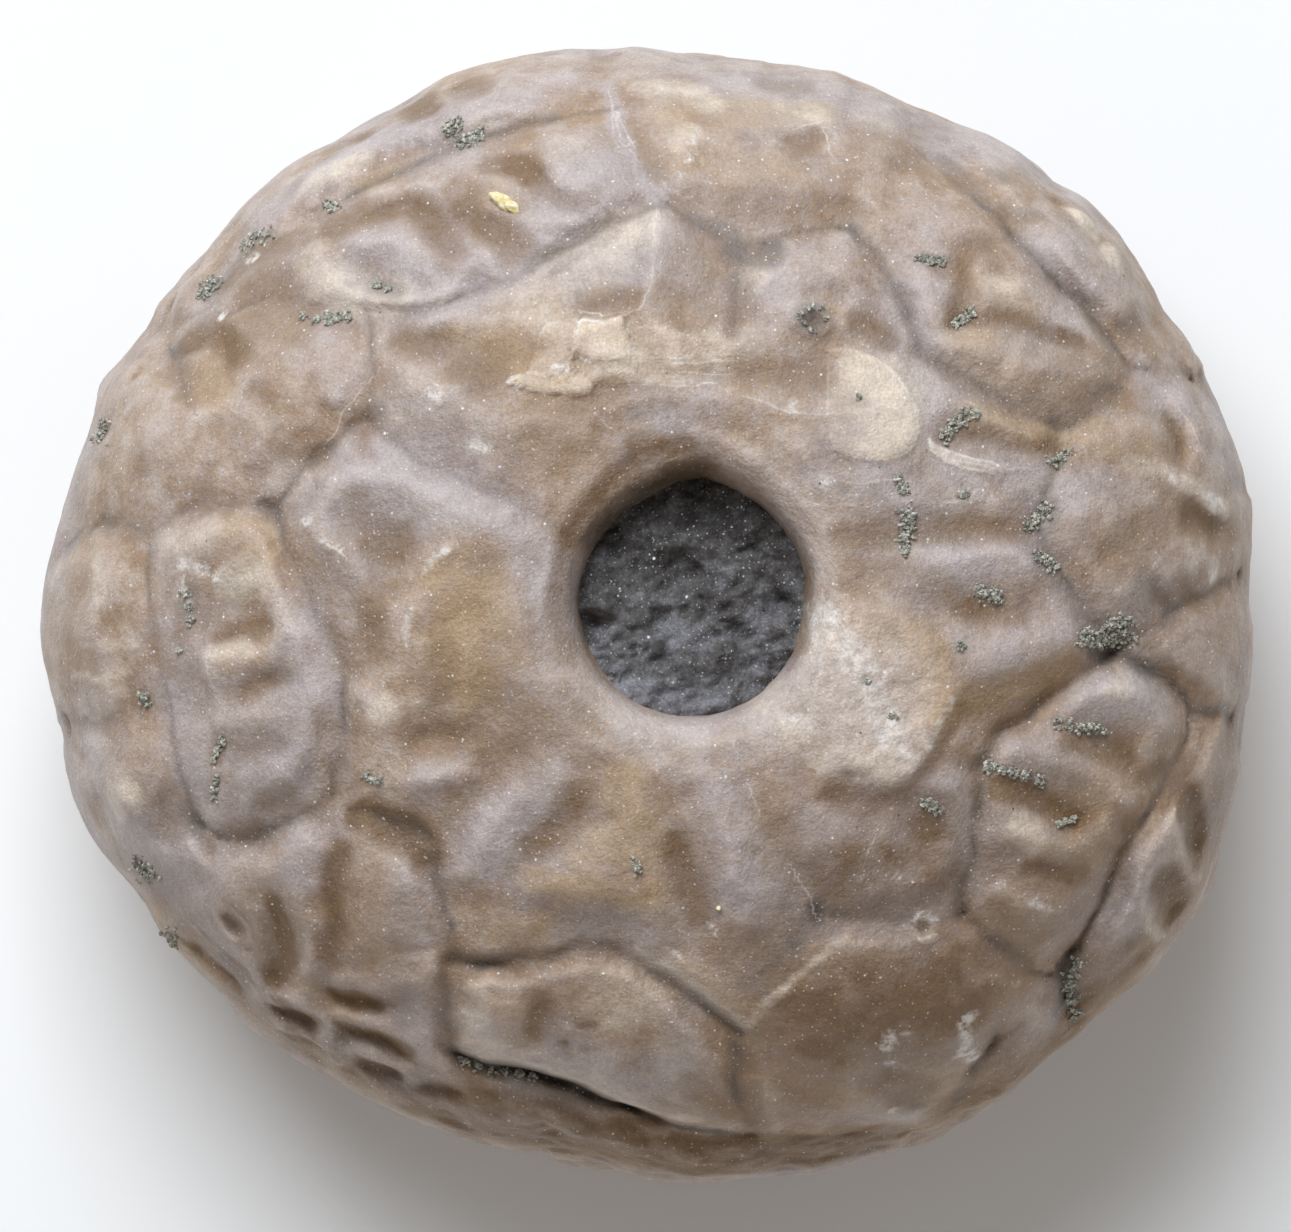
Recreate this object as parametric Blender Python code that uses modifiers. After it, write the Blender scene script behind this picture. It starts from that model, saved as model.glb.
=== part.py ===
"""Fossil crinoid calyx, lying on its worn mouth side with the stem pit up.

Frame: origin on the resting plane under the middle of the outline, +X along the longest width,
+Y across it, +Z up through the stem pit. Units are metres, and MM turns millimetres into them.
"""
import math

import bmesh
import bpy
from mathutils import Vector

MM = 0.001

# Driving dimensions.
LENGTH = 32.0 * MM
WIDTH = 30.0 * MM
HEIGHT = 17.5 * MM
WAIST_HEIGHT = 6.6 * MM  # height of the widest ring above the resting plane
WORN_DEPTH = 0.9 * MM  # how much of the rounded mouth side is worn away flat
TOP_SQUARENESS = 2.35  # 2 is a round dome, and more is squarer
UNDER_SQUARENESS = 2.6

# The stem pit and the rock that fills it.
PIT_CENTRE = Vector((1.2 * MM, 0.5 * MM))
PIT_RADIUS = 3.3 * MM  # where the plug sits
PIT_MOUTH_RADIUS = 3.9 * MM  # at the top of the funnel
PIT_DEPTH = 4.4 * MM
PLUG_RECESS = 1.3 * MM
PLUG_THICKNESS = 2.7 * MM
PLUG_SQUARENESS = 4.0
PLUG_LUMP = 0.22 * MM
PLUG_LUMP_SPACING = Vector((0.7 * MM, 0.6 * MM))
GAP = 0.3 * MM  # clearance between the plug and the pit

# Relief of the plates.
GROOVE_DEPTH = 0.6 * MM
GROOVE_HALF_WIDTH = 0.8 * MM
PLATE_RISE = 0.5 * MM
PLATE_SHOULDER = 1.9 * MM  # distance from a groove at which a plate has risen
BRIM_DIP = 0.5 * MM  # the crown sinks this much towards the pit
BRIM_REACH = 4.5 * MM

# Mesh density.
SEGMENTS = 90
RINGS = 48
PLUG_SEGMENTS = 32
PLUG_RINGS = 12

# The widest outline seen from above, in millimetres, anticlockwise from +X.
OUTLINE = [
    (16.0, 0.3), (15.8, 3.2), (15.0, 6.0), (13.6, 8.2), (11.9, 10.8), (9.4, 12.5),
    (6.9, 13.5), (4.2, 14.5), (0.0, 15.0), (-2.6, 14.9), (-5.3, 14.3), (-8.0, 12.8),
    (-10.6, 10.9), (-12.6, 8.4), (-14.0, 6.3), (-15.0, 4.0), (-15.9, 0.8), (-15.8, -1.2),
    (-15.2, -3.3), (-14.8, -5.5), (-13.0, -8.1), (-10.9, -10.5), (-8.0, -12.5), (-4.6, -13.8),
    (-1.0, -14.6), (1.5, -15.0), (5.2, -14.6), (9.2, -13.0), (11.8, -10.7), (14.0, -8.5),
    (15.0, -6.9), (15.7, -4.2),
]

# Grooves between the plates, as lines seen from above, in millimetres.
GROOVES = [
    # between the ring of plates that meets the pit and outwards, clockwise from the upper left
    [(-2.1, 2.2), (-4.0, 3.3), (-6.0, 4.2), (-7.3, 5.2)],
    [(-7.3, 5.2), (-8.5, 4.3), (-9.8, 2.8)],
    [(-7.3, 5.2), (-7.2, 7.5)],
    [(2.4, 7.3), (2.6, 9.8), (4.5, 10.3), (5.6, 10.2)],
    [(2.6, 9.8), (0.4, 11.0), (-2.5, 9.5), (-5.0, 8.4)],
    [(0.4, 11.0), (-0.7, 12.8), (-0.9, 14.2)],
    [(9.0, 6.0), (10.9, 4.8), (10.3, 2.4), (12.3, -0.8)],
    [(2.4, -3.0), (3.1, -5.3), (4.6, -7.8)],
    [(-1.2, -2.0), (-3.5, -4.1), (-5.5, -5.9)],
    # west plate
    [
        (-12.9, 2.5), (-11.0, 2.9), (-9.8, 2.5), (-8.9, 0.6), (-8.1, -1.2), (-8.2, -4.0),
        (-9.4, -5.6), (-11.3, -5.7), (-12.3, -3.6), (-13.0, -0.6), (-12.9, 2.5),
    ],
    [(-13.0, 2.2), (-15.6, 1.9)],
    # south-west valley and the south plate
    [(-7.5, -5.2), (-5.6, -6.1), (-5.2, -9.1), (-1.5, -8.7), (0.5, -9.6), (2.6, -11.0)],
    [(-5.2, -9.1), (-5.2, -11.6), (-1.5, -12.7), (2.6, -13.8)],
    # south-east plates
    [(2.5, -13.6), (2.4, -11.0), (4.6, -8.2), (8.4, -7.9), (9.0, -11.6), (8.3, -13.2)],
    [
        (12.2, -0.9), (10.2, -2.7), (8.9, -4.2), (8.4, -7.8), (10.8, -9.6), (12.1, -7.9),
        (13.4, -5.3), (14.4, -3.0), (14.0, -1.7), (12.2, -0.9),
    ],
    [(14.4, -2.4), (15.9, -2.7)],
    # north-east plate
    [
        (9.0, 6.0), (7.2, 7.2), (5.6, 10.2), (8.0, 11.6), (10.2, 9.3), (12.9, 6.6), (10.9, 4.8),
    ],
    [(12.9, 6.6), (14.7, 6.7)],
    # upper left rim
    [(-0.9, 13.5), (-4.0, 12.8), (-7.5, 11.3), (-11.0, 9.0), (-12.8, 8.0)],
]

# Under the waist ten grooves run down to a ring groove, as between the bases of the arms.
ARM_BASES = 10
ARM_BASE_TURN = math.radians(11.0)
RING_GROOVE_HEIGHT = 3.4 * MM
WAIST_BLEND = 3.0 * MM  # height over which the relief of the sides passes into that below


def new_collection(name):
    collection = bpy.data.collections.new(name)
    bpy.context.scene.collection.children.link(collection)
    return collection


def new_object(name, shape, collection):
    """Turn a bmesh into an object with smooth faces."""
    mesh = bpy.data.meshes.new(name)
    shape.to_mesh(mesh)
    shape.free()
    mesh.shade_smooth()
    obj = bpy.data.objects.new(name, mesh)
    collection.objects.link(obj)
    return obj


def stone_material(name, colour, roughness):
    material = bpy.data.materials.new(name)
    material.use_nodes = True
    shader = material.node_tree.nodes["Principled BSDF"]
    shader.inputs["Base Color"].default_value = (*colour, 1.0)
    shader.inputs["Roughness"].default_value = roughness
    shader.inputs["Metallic"].default_value = 0.0
    return material


def outline_radius(angle):
    """Distance from the origin to the outline in the direction of angle, by straight runs."""
    direction = Vector((math.cos(angle), math.sin(angle)))
    for i, start in enumerate(OUTLINE):
        a = Vector(start)
        b = Vector(OUTLINE[(i + 1) % len(OUTLINE)])
        run = b - a
        across = direction.cross(run)
        if abs(across) < 1e-9:
            continue
        reach = a.cross(run) / across
        along = a.cross(direction) / across
        if reach > 0.0 and -1e-6 <= along <= 1.0 + 1e-6:
            return reach * MM
    raise ValueError("the outline does not surround the origin")


def distance_to_line(point, line):
    """Shortest distance in plan from a point to a line of points given in millimetres."""
    best = math.inf
    for start, end in zip(line, line[1:]):
        a = Vector(start) * MM
        run = Vector(end) * MM - a
        along = max(0.0, min(1.0, (point - a).dot(run) / run.length_squared))
        best = min(best, (point - a - run * along).length)
    return best


def smooth_step(value):
    """Ease from 0 to 1 as the value does."""
    t = max(0.0, min(1.0, value))
    return t * t * (3.0 - 2.0 * t)


def plate_profile(distance):
    """Height of the surface at a distance from a groove, next to the middle of a plate."""
    groove = -GROOVE_DEPTH * math.exp(-((distance / GROOVE_HALF_WIDTH) ** 2))
    shoulder = -PLATE_RISE * math.exp(-((distance / PLATE_SHOULDER) ** 2))
    return groove + shoulder


def relief_above(position):
    """Relief of the plates seen from above, and the dip of the crown towards the pit."""
    distance = min(distance_to_line(position.xy, line) for line in GROOVES)
    from_pit = (position.xy - PIT_CENTRE).length
    return plate_profile(distance) - BRIM_DIP * math.exp(-((from_pit / BRIM_REACH) ** 2))


def relief_below(position, angle):
    """Relief of the arm bases under the waist, fading out towards the worn face."""
    step = math.tau / ARM_BASES
    turn = (angle - ARM_BASE_TURN + step / 2) % step - step / 2
    to_arm_groove = abs(turn) * position.xy.length
    to_ring_groove = abs(position.z - RING_GROOVE_HEIGHT)
    fade = smooth_step(position.z / RING_GROOVE_HEIGHT)
    return plate_profile(min(to_arm_groove, to_ring_groove)) * fade


def bun_point(polar, angle):
    """A point of the smooth bun shape; polar runs from 0 at the top to pi underneath."""
    is_top = polar <= math.pi / 2
    power = 2.0 / (TOP_SQUARENESS if is_top else UNDER_SQUARENESS)
    spread = abs(math.sin(polar)) ** power
    lift = abs(math.cos(polar)) ** power
    if is_top:
        z = WAIST_HEIGHT + (HEIGHT - WAIST_HEIGHT) * lift
    else:
        z = WAIST_HEIGHT - (WAIST_HEIGHT + WORN_DEPTH) * lift
    radius = outline_radius(angle) * spread
    centre = PIT_CENTRE * (lift if is_top else 0.0)
    return Vector((centre.x + radius * math.cos(angle), centre.y + radius * math.sin(angle), z))


def relief(position, angle):
    """How far the real surface stands out from the smooth bun shape."""
    above = smooth_step((position.z - WAIST_HEIGHT) / WAIST_BLEND + 0.5)
    return above * relief_above(position) + (1.0 - above) * relief_below(position, angle)


def make_calyx(collection):
    """The cup: a sphere shaped to the bun, given its plates, and worn flat underneath."""
    shape = bmesh.new()
    bmesh.ops.create_uvsphere(shape, u_segments=SEGMENTS, v_segments=RINGS, radius=1.0)
    angles = {vert: math.atan2(vert.co.y, vert.co.x) for vert in shape.verts}
    for vert, angle in angles.items():
        vert.co = bun_point(math.acos(max(-1.0, min(1.0, vert.co.z))), angle)
    shape.normal_update()
    moves = {vert: vert.normal * relief(vert.co, angle) for vert, angle in angles.items()}
    for vert, move in moves.items():
        vert.co += move
    stretch_to_size(shape)
    everything = shape.verts[:] + shape.edges[:] + shape.faces[:]
    cut = bmesh.ops.bisect_plane(
        shape, geom=everything, plane_co=(0, 0, 0), plane_no=(0, 0, -1), clear_outer=True
    )
    rim = [item for item in cut["geom_cut"] if isinstance(item, bmesh.types.BMEdge)]
    bmesh.ops.contextual_create(shape, geom=rim)
    bmesh.ops.recalc_face_normals(shape, faces=shape.faces[:])
    calyx = new_object("calyx", shape, collection)
    calyx.data.materials.append(stone_material("calcite", (0.42, 0.33, 0.27), 0.55))
    return calyx


def stretch_to_size(shape):
    """Scale the shape so that its box has exactly the stated length, width and height."""
    low = Vector([min(v.co[i] for v in shape.verts) for i in range(3)])
    high = Vector([max(v.co[i] for v in shape.verts) for i in range(3)])
    for vert in shape.verts:
        vert.co.x = (vert.co.x - (low.x + high.x) / 2) * LENGTH / (high.x - low.x)
        vert.co.y = (vert.co.y - (low.y + high.y) / 2) * WIDTH / (high.y - low.y)
        vert.co.z = vert.co.z * HEIGHT / high.z


def make_pit_cutter(collection):
    """The stem pit as a turned shape: a straight well under a funnel."""
    floor = HEIGHT - PIT_DEPTH
    shoulder = HEIGHT - PLUG_RECESS
    above = HEIGHT + PLUG_RECESS
    flare = PIT_MOUTH_RADIUS + (PIT_MOUTH_RADIUS - PIT_RADIUS)
    profile = [
        (0.0, above), (flare, above), (PIT_RADIUS, shoulder), (PIT_RADIUS, floor), (0.0, floor),
    ]
    links = [(i, i + 1) for i in range(len(profile) - 1)]
    mesh = bpy.data.meshes.new("pit_cutter")
    mesh.from_pydata([(r, 0.0, z) for r, z in profile], links, [])
    cutter = bpy.data.objects.new("pit_cutter", mesh)
    cutter.location = (PIT_CENTRE.x, PIT_CENTRE.y, 0.0)
    cutter.hide_render = True
    cutter.display_type = "WIRE"
    collection.objects.link(cutter)
    turn = cutter.modifiers.new("turn", "SCREW")
    turn.steps = PLUG_SEGMENTS
    turn.render_steps = PLUG_SEGMENTS
    turn.use_merge_vertices = True
    turn.merge_threshold = 0.00001
    return cutter


def cut_pit(calyx, cutter):
    cut = calyx.modifiers.new("stem pit", "BOOLEAN")
    cut.operation = "DIFFERENCE"
    cut.object = cutter


def make_pit_matrix(collection):
    """The rock in the pit: a thick round cake with a lumpy top, clear of the pit by the gap."""
    radius = PIT_RADIUS - GAP
    middle = HEIGHT - PLUG_RECESS - PLUG_THICKNESS / 2
    power = 2.0 / PLUG_SQUARENESS
    shape = bmesh.new()
    bmesh.ops.create_uvsphere(shape, u_segments=PLUG_SEGMENTS, v_segments=PLUG_RINGS, radius=1.0)
    for vert in shape.verts:
        flat = vert.co.xy.length
        angle = math.atan2(vert.co.y, vert.co.x)
        spread = flat**power * radius
        lift = math.copysign(abs(vert.co.z) ** power, vert.co.z) * PLUG_THICKNESS / 2
        x = spread * math.cos(angle)
        y = spread * math.sin(angle)
        if vert.co.z > 0.0:
            waves = math.sin(x / PLUG_LUMP_SPACING.x + 0.8) * math.cos(y / PLUG_LUMP_SPACING.y)
            lift += PLUG_LUMP * waves * vert.co.z
        vert.co = Vector((PIT_CENTRE.x + x, PIT_CENTRE.y + y, middle + lift))
    plug = new_object("pit_matrix", shape, collection)
    plug.data.materials.append(stone_material("shale", (0.06, 0.06, 0.065), 0.7))
    return plug


def main():
    for obj in list(bpy.data.objects):
        bpy.data.objects.remove(obj, do_unlink=True)
    parts = new_collection("fossil_crinoid")
    cutters = new_collection("cutters")
    calyx = make_calyx(parts)
    cut_pit(calyx, make_pit_cutter(cutters))
    make_pit_matrix(parts)


main()
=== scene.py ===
"""The looks of a fossil crinoid calyx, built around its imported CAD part."""

import math
import random

import bmesh
import bpy
import numpy as np
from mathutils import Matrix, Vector, geometry, noise
from mathutils.bvhtree import BVHTree


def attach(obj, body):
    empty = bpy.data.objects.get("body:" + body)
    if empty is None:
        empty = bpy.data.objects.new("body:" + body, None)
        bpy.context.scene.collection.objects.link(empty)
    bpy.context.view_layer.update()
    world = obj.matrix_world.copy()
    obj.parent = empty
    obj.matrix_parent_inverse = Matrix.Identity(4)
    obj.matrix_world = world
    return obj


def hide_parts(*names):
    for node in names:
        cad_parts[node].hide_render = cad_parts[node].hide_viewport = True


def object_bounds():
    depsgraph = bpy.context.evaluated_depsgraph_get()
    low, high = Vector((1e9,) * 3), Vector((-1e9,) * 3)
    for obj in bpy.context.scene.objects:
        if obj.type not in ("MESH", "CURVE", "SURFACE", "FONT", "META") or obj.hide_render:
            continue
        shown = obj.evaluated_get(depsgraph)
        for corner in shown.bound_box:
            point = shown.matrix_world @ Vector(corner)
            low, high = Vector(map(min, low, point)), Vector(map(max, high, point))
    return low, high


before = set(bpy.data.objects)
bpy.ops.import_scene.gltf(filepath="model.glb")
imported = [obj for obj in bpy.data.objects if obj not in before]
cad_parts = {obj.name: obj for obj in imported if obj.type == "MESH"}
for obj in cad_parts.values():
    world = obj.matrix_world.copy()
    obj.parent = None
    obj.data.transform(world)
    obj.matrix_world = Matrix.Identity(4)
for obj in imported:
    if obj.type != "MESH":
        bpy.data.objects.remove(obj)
cad_box = [list(corner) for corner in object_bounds()]

# --- The calyx -----------------------------------------------------------------------------
# The cup of a sea lily: plates of calcite that grew together and turned to one solid stone.
# Seams between the plates are worn to soft valleys, and the plates are folded, pitted and
# chipped. All sizes here are in millimetres, and the mesh turns them to metres at the end.

MM = 0.001
LENGTH, WIDTH, HEIGHT = [round((high - low) / MM, 1) for low, high in zip(*cad_box)]
WAIST_HEIGHT = 6.6  # height of the widest outline
WORN_DEPTH = 0.9  # how much of the mouth side is worn away
TOP_SQUARENESS = 2.35  # powers of the rounded side: 2 is an ellipse, and more is squarer
UNDER_SQUARENESS = 2.6
EYE_HEIGHT = 600.0  # the camera looks straight down from here
PIT_CENTRE = np.array([1.23, 0.5])
GRID = 126  # quads along each edge of the cube that is blown up to the calyx

OUTLINE = [
    (16.0, 0.3), (15.85, 3.2), (15.0, 6.0), (14.35, 7.35), (13.6, 8.2), (12.9, 9.35), (12.2, 10.35),
    (11.5, 11.1), (10.8, 11.35), (10.1, 12.0), (9.4, 12.5), (6.9, 13.5), (6.2, 13.9), (4.7, 14.4),
    (3.0, 14.65), (1.4, 14.85), (-0.8, 15.0), (-2.6, 14.95), (-5.6, 14.25), (-6.6, 13.5), (-8.2, 12.6),
    (-9.2, 12.15), (-10.8, 10.75), (-11.8, 9.55), (-12.35, 9.0), (-12.5, 8.65), (-12.95, 8.4),
    (-13.1, 7.65), (-13.5, 7.35), (-13.75, 6.7), (-14.15, 6.35), (-14.45, 5.85), (-14.6, 5.2),
    (-15.0, 4.2), (-15.3, 3.1), (-15.75, 1.7), (-15.95, 0.3), (-16.0, -0.8), (-15.65, -2.3),
    (-15.25, -3.15), (-15.4, -3.75), (-15.25, -4.6), (-14.6, -6.0), (-13.2, -7.7), (-12.9, -8.4),
    (-12.3, -8.95), (-11.2, -10.05), (-10.7, -10.75), (-9.4, -11.65), (-8.0, -12.5), (-4.6, -13.85),
    (-3.0, -14.15), (-1.0, -14.6), (0.0, -14.95), (1.5, -15.02), (5.2, -14.55), (7.9, -13.7),
    (9.4, -12.9), (10.6, -11.75), (11.2, -11.2), (12.5, -10.1), (13.2, -9.65), (13.7, -8.95),
    (14.8, -7.55), (14.95, -6.8), (15.25, -5.95), (15.7, -4.2), (15.95, -1.8),
]


def outline_radius(angle):
    """Radius of the widest outline at each angle, rounded over a few degrees."""
    turns = np.unwrap([math.atan2(y, x) for x, y in OUTLINE])
    radii = [math.hypot(x, y) for x, y in OUTLINE]
    fine = np.radians(np.arange(-180.0, 540.0))
    run = np.interp(fine, turns, radii, period=math.tau)
    soft = np.exp(-((np.arange(-6, 7) / 1.3) ** 2))
    run = np.convolve(run, soft / soft.sum(), mode="same")
    return np.interp(angle % math.tau, fine, run)


def meridian(polar):
    """Spread, lift and height of the smooth bun at each polar angle, 0 at the top."""
    top = polar <= math.pi / 2
    power = np.where(top, 2.0 / TOP_SQUARENESS, 2.0 / UNDER_SQUARENESS)
    spread = np.abs(np.sin(polar)) ** power
    lift = np.abs(np.cos(polar)) ** power
    rise = np.where(top, HEIGHT - WAIST_HEIGHT, -WAIST_HEIGHT - WORN_DEPTH)
    return spread, lift, WAIST_HEIGHT + rise * lift


def evenly_placed(upness):
    """Polar angles that share the vertices out by area, densest on the crown."""
    polar = np.linspace(0.0, math.pi, 4001)
    spread, _, height = meridian(polar)
    radius = spread * LENGTH / 2
    step = np.hypot(np.diff(radius), np.diff(height))
    middle = (radius[1:] + radius[:-1]) / 2
    crown = np.interp(height[1:], [0.0, 0.5, WAIST_HEIGHT, 10.0], [0.16, 0.4, 0.75, 1.0])
    in_pit = np.interp(middle, [2.4, 3.2], [0.25, 1.0])
    share = np.where(polar[1:] < math.pi / 2, in_pit, 1.0) * crown * middle * step
    total = np.concatenate([[0.0], np.cumsum(share)])
    return np.interp((1.0 - upness) / 2, total / total[-1], polar)


# A cube is cut into a fine grid and blown up to a ball, and the ball is pulled to a bun. A
# ball made this way has no poles where its faces pinch.
ball = bmesh.new()
bmesh.ops.create_cube(ball, size=2.0)
bmesh.ops.subdivide_edges(ball, edges=ball.edges[:], cuts=GRID - 1, use_grid_fill=True)
corner = np.tan(np.array([v.co for v in ball.verts]) * math.pi / 4)
corner /= np.linalg.norm(corner, axis=1)[:, None]
turn = np.arctan2(corner[:, 1], corner[:, 0])
spread, lift, height = meridian(evenly_placed(corner[:, 2]))
lift[height < WAIST_HEIGHT] = 0.0
bun = np.column_stack([
    PIT_CENTRE[0] * lift + outline_radius(turn) * spread * np.cos(turn),
    PIT_CENTRE[1] * lift + outline_radius(turn) * spread * np.sin(turn),
    height,
])
for vert, place in zip(ball.verts, bun):
    vert.co = place
ball.normal_update()
out = np.array([v.normal for v in ball.verts])
bun_tree = BVHTree.FromBMesh(ball)
links = np.array([[e.verts[0].index, e.verts[1].index] for e in ball.edges])
neighbours = np.bincount(links.ravel(), minlength=len(bun))
relief = np.zeros(len(bun))

# Natural seams and cracks waver, so every course is measured from slightly shifted vertices.
# The seed keeps the waver the same on each run, because without one it follows the clock.
noise.seed_set(16)
waver = np.array([
    0.14 * noise.noise_vector(Vector(p / 0.9)) + 0.05 * noise.noise_vector(Vector(p / 0.35)) for p in bun
])
shaky = bun + waver


def ease(value):
    """Ease from 0 to 1 as the value does."""
    t = np.clip(value, 0.0, 1.0)
    return t * t * (3.0 - 2.0 * t)


def soften(values, rounds):
    """Blur one number for each vertex over a number of rings of neighbours."""
    for _ in range(rounds):
        around = np.bincount(links[:, 0], values[links[:, 1]], len(values))
        around += np.bincount(links[:, 1], values[links[:, 0]], len(values))
        values = 0.5 * values + 0.5 * around / neighbours
    return values


def look_down(tree, x, y):
    """Where an eye high above that aims at x, y of the outline's plane meets a surface."""
    eye = Vector((0.0, 0.0, EYE_HEIGHT))
    return tree.ray_cast(eye, (Vector((x, y, WAIST_HEIGHT)) - eye).normalized())


def seen_at(x, y):
    """The point of the bun that the eye sees at x, y, or past the outline the nearest one."""
    return look_down(bun_tree, x, y)[0] or bun_tree.find_nearest(Vector((x, y, WAIST_HEIGHT)))[0]


def on_flank(degrees, z):
    """The point of the bun's side at a height and a direction."""
    turn = math.radians(degrees)
    inward = Vector((-math.cos(turn), -math.sin(turn), 0.0))
    return bun_tree.ray_cast(-50.0 * inward + Vector((0.0, 0.0, z)), inward)[0]


def rounded(corners):
    """A rounded path through a few corners."""
    corners = [np.array(c, float) for c in corners]
    if len(corners) == 1:
        corners = [corners[0], corners[0] + 1e-4]
    ends = [2 * corners[0] - corners[1], *corners, 2 * corners[-1] - corners[-2]]
    path = []
    for a, b, c, d in zip(ends, ends[1:], ends[2:], ends[3:]):
        steps = max(2, int(np.linalg.norm(c - b) / 0.3))
        for t in np.arange(steps) / steps:
            curve = 2 * b + (c - a) * t + (2 * a - 5 * b + 4 * c - d) * t**2
            path.append((curve + (3 * b - a - 3 * c + d) * t**3) / 2)
    return np.array([*path, corners[-1]])


def near(points, reach, place=seen_at):
    """The vertices within reach of a path on the bun, with their distance and side."""
    path = rounded([place(*point) for point in points])
    inside = np.all((shaky > path.min(0) - reach) & (shaky < path.max(0) + reach), axis=1)
    index = np.nonzero(inside)[0]
    distance = np.full(len(index), reach + 1.0)
    side = np.zeros(len(index))
    for start, end in zip(path, path[1:]):
        run = end - start
        offset = shaky[index] - start
        along = np.clip(offset @ run / max(run @ run, 1e-12), 0.0, 1.0)
        gap = offset - along[:, None] * run
        length = np.linalg.norm(gap, axis=1)
        closer = length < distance
        distance[closer] = length[closer]
        side[closer] = np.sign((np.cross(run, gap[closer]) * out[index][closer]).sum(1))
    close = distance < reach
    return index[close], distance[close], side[close]


def press(points, depth, width, place=seen_at):
    """Press a soft valley into the plates, or raise a ridge where depth is negative."""
    index, distance, _ = near(points, 3 * width, place)
    relief[index] -= depth * np.exp(-((distance / width) ** 2))


def crease(points, depth, width, place=seen_at):
    """Fold the surface down to a sharp line, as where two plates meet."""
    index, distance, _ = near(points, 4 * width, place)
    relief[index] -= depth * np.exp(-(np.hypot(distance, 0.05) - 0.05) / width)


def inside(outline):
    """How far each vertex of the crown lies inside an outline, negative outside it."""
    ring = np.array([*outline, outline[0]], float)
    x, y = straight.T
    crossings = np.zeros(len(bun), bool)
    depth = np.full(len(bun), 4.0)
    for (x0, y0), (x1, y1) in zip(ring, ring[1:]):
        if y0 != y1:
            spans = (y0 > y) != (y1 > y)
            crossings ^= spans & (x < x0 + (y - y0) * (x1 - x0) / (y1 - y0))
        run = np.array([x1 - x0, y1 - y0])
        offset = straight - (x0, y0)
        along = np.clip(offset @ run / max(run @ run, 1e-12), 0.0, 1.0)
        depth = np.minimum(depth, np.linalg.norm(offset - along[:, None] * run, axis=1))
    crossings &= bun[:, 2] > WAIST_HEIGHT
    return np.where(crossings, depth, -depth)


def lumps(size, octaves=3):
    """Random bumps of about a size, between -1 and 1, the same on each run."""
    return np.array([noise.fractal(Vector(p / size), 1.0, 2.0, octaves) for p in bun])


# Where the eye above sees each vertex, in the plane of the widest outline.
straight = bun[:, :2] * ((EYE_HEIGHT - WAIST_HEIGHT) / (EYE_HEIGHT - bun[:, 2]))[:, None]
seen = shaky[:, :2] * ((EYE_HEIGHT - WAIST_HEIGHT) / (EYE_HEIGHT - bun[:, 2]))[:, None]
crown = ease((bun[:, 2] - WAIST_HEIGHT - 0.3) / 1.5)  # 0 at the waist and 1 above it

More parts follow.
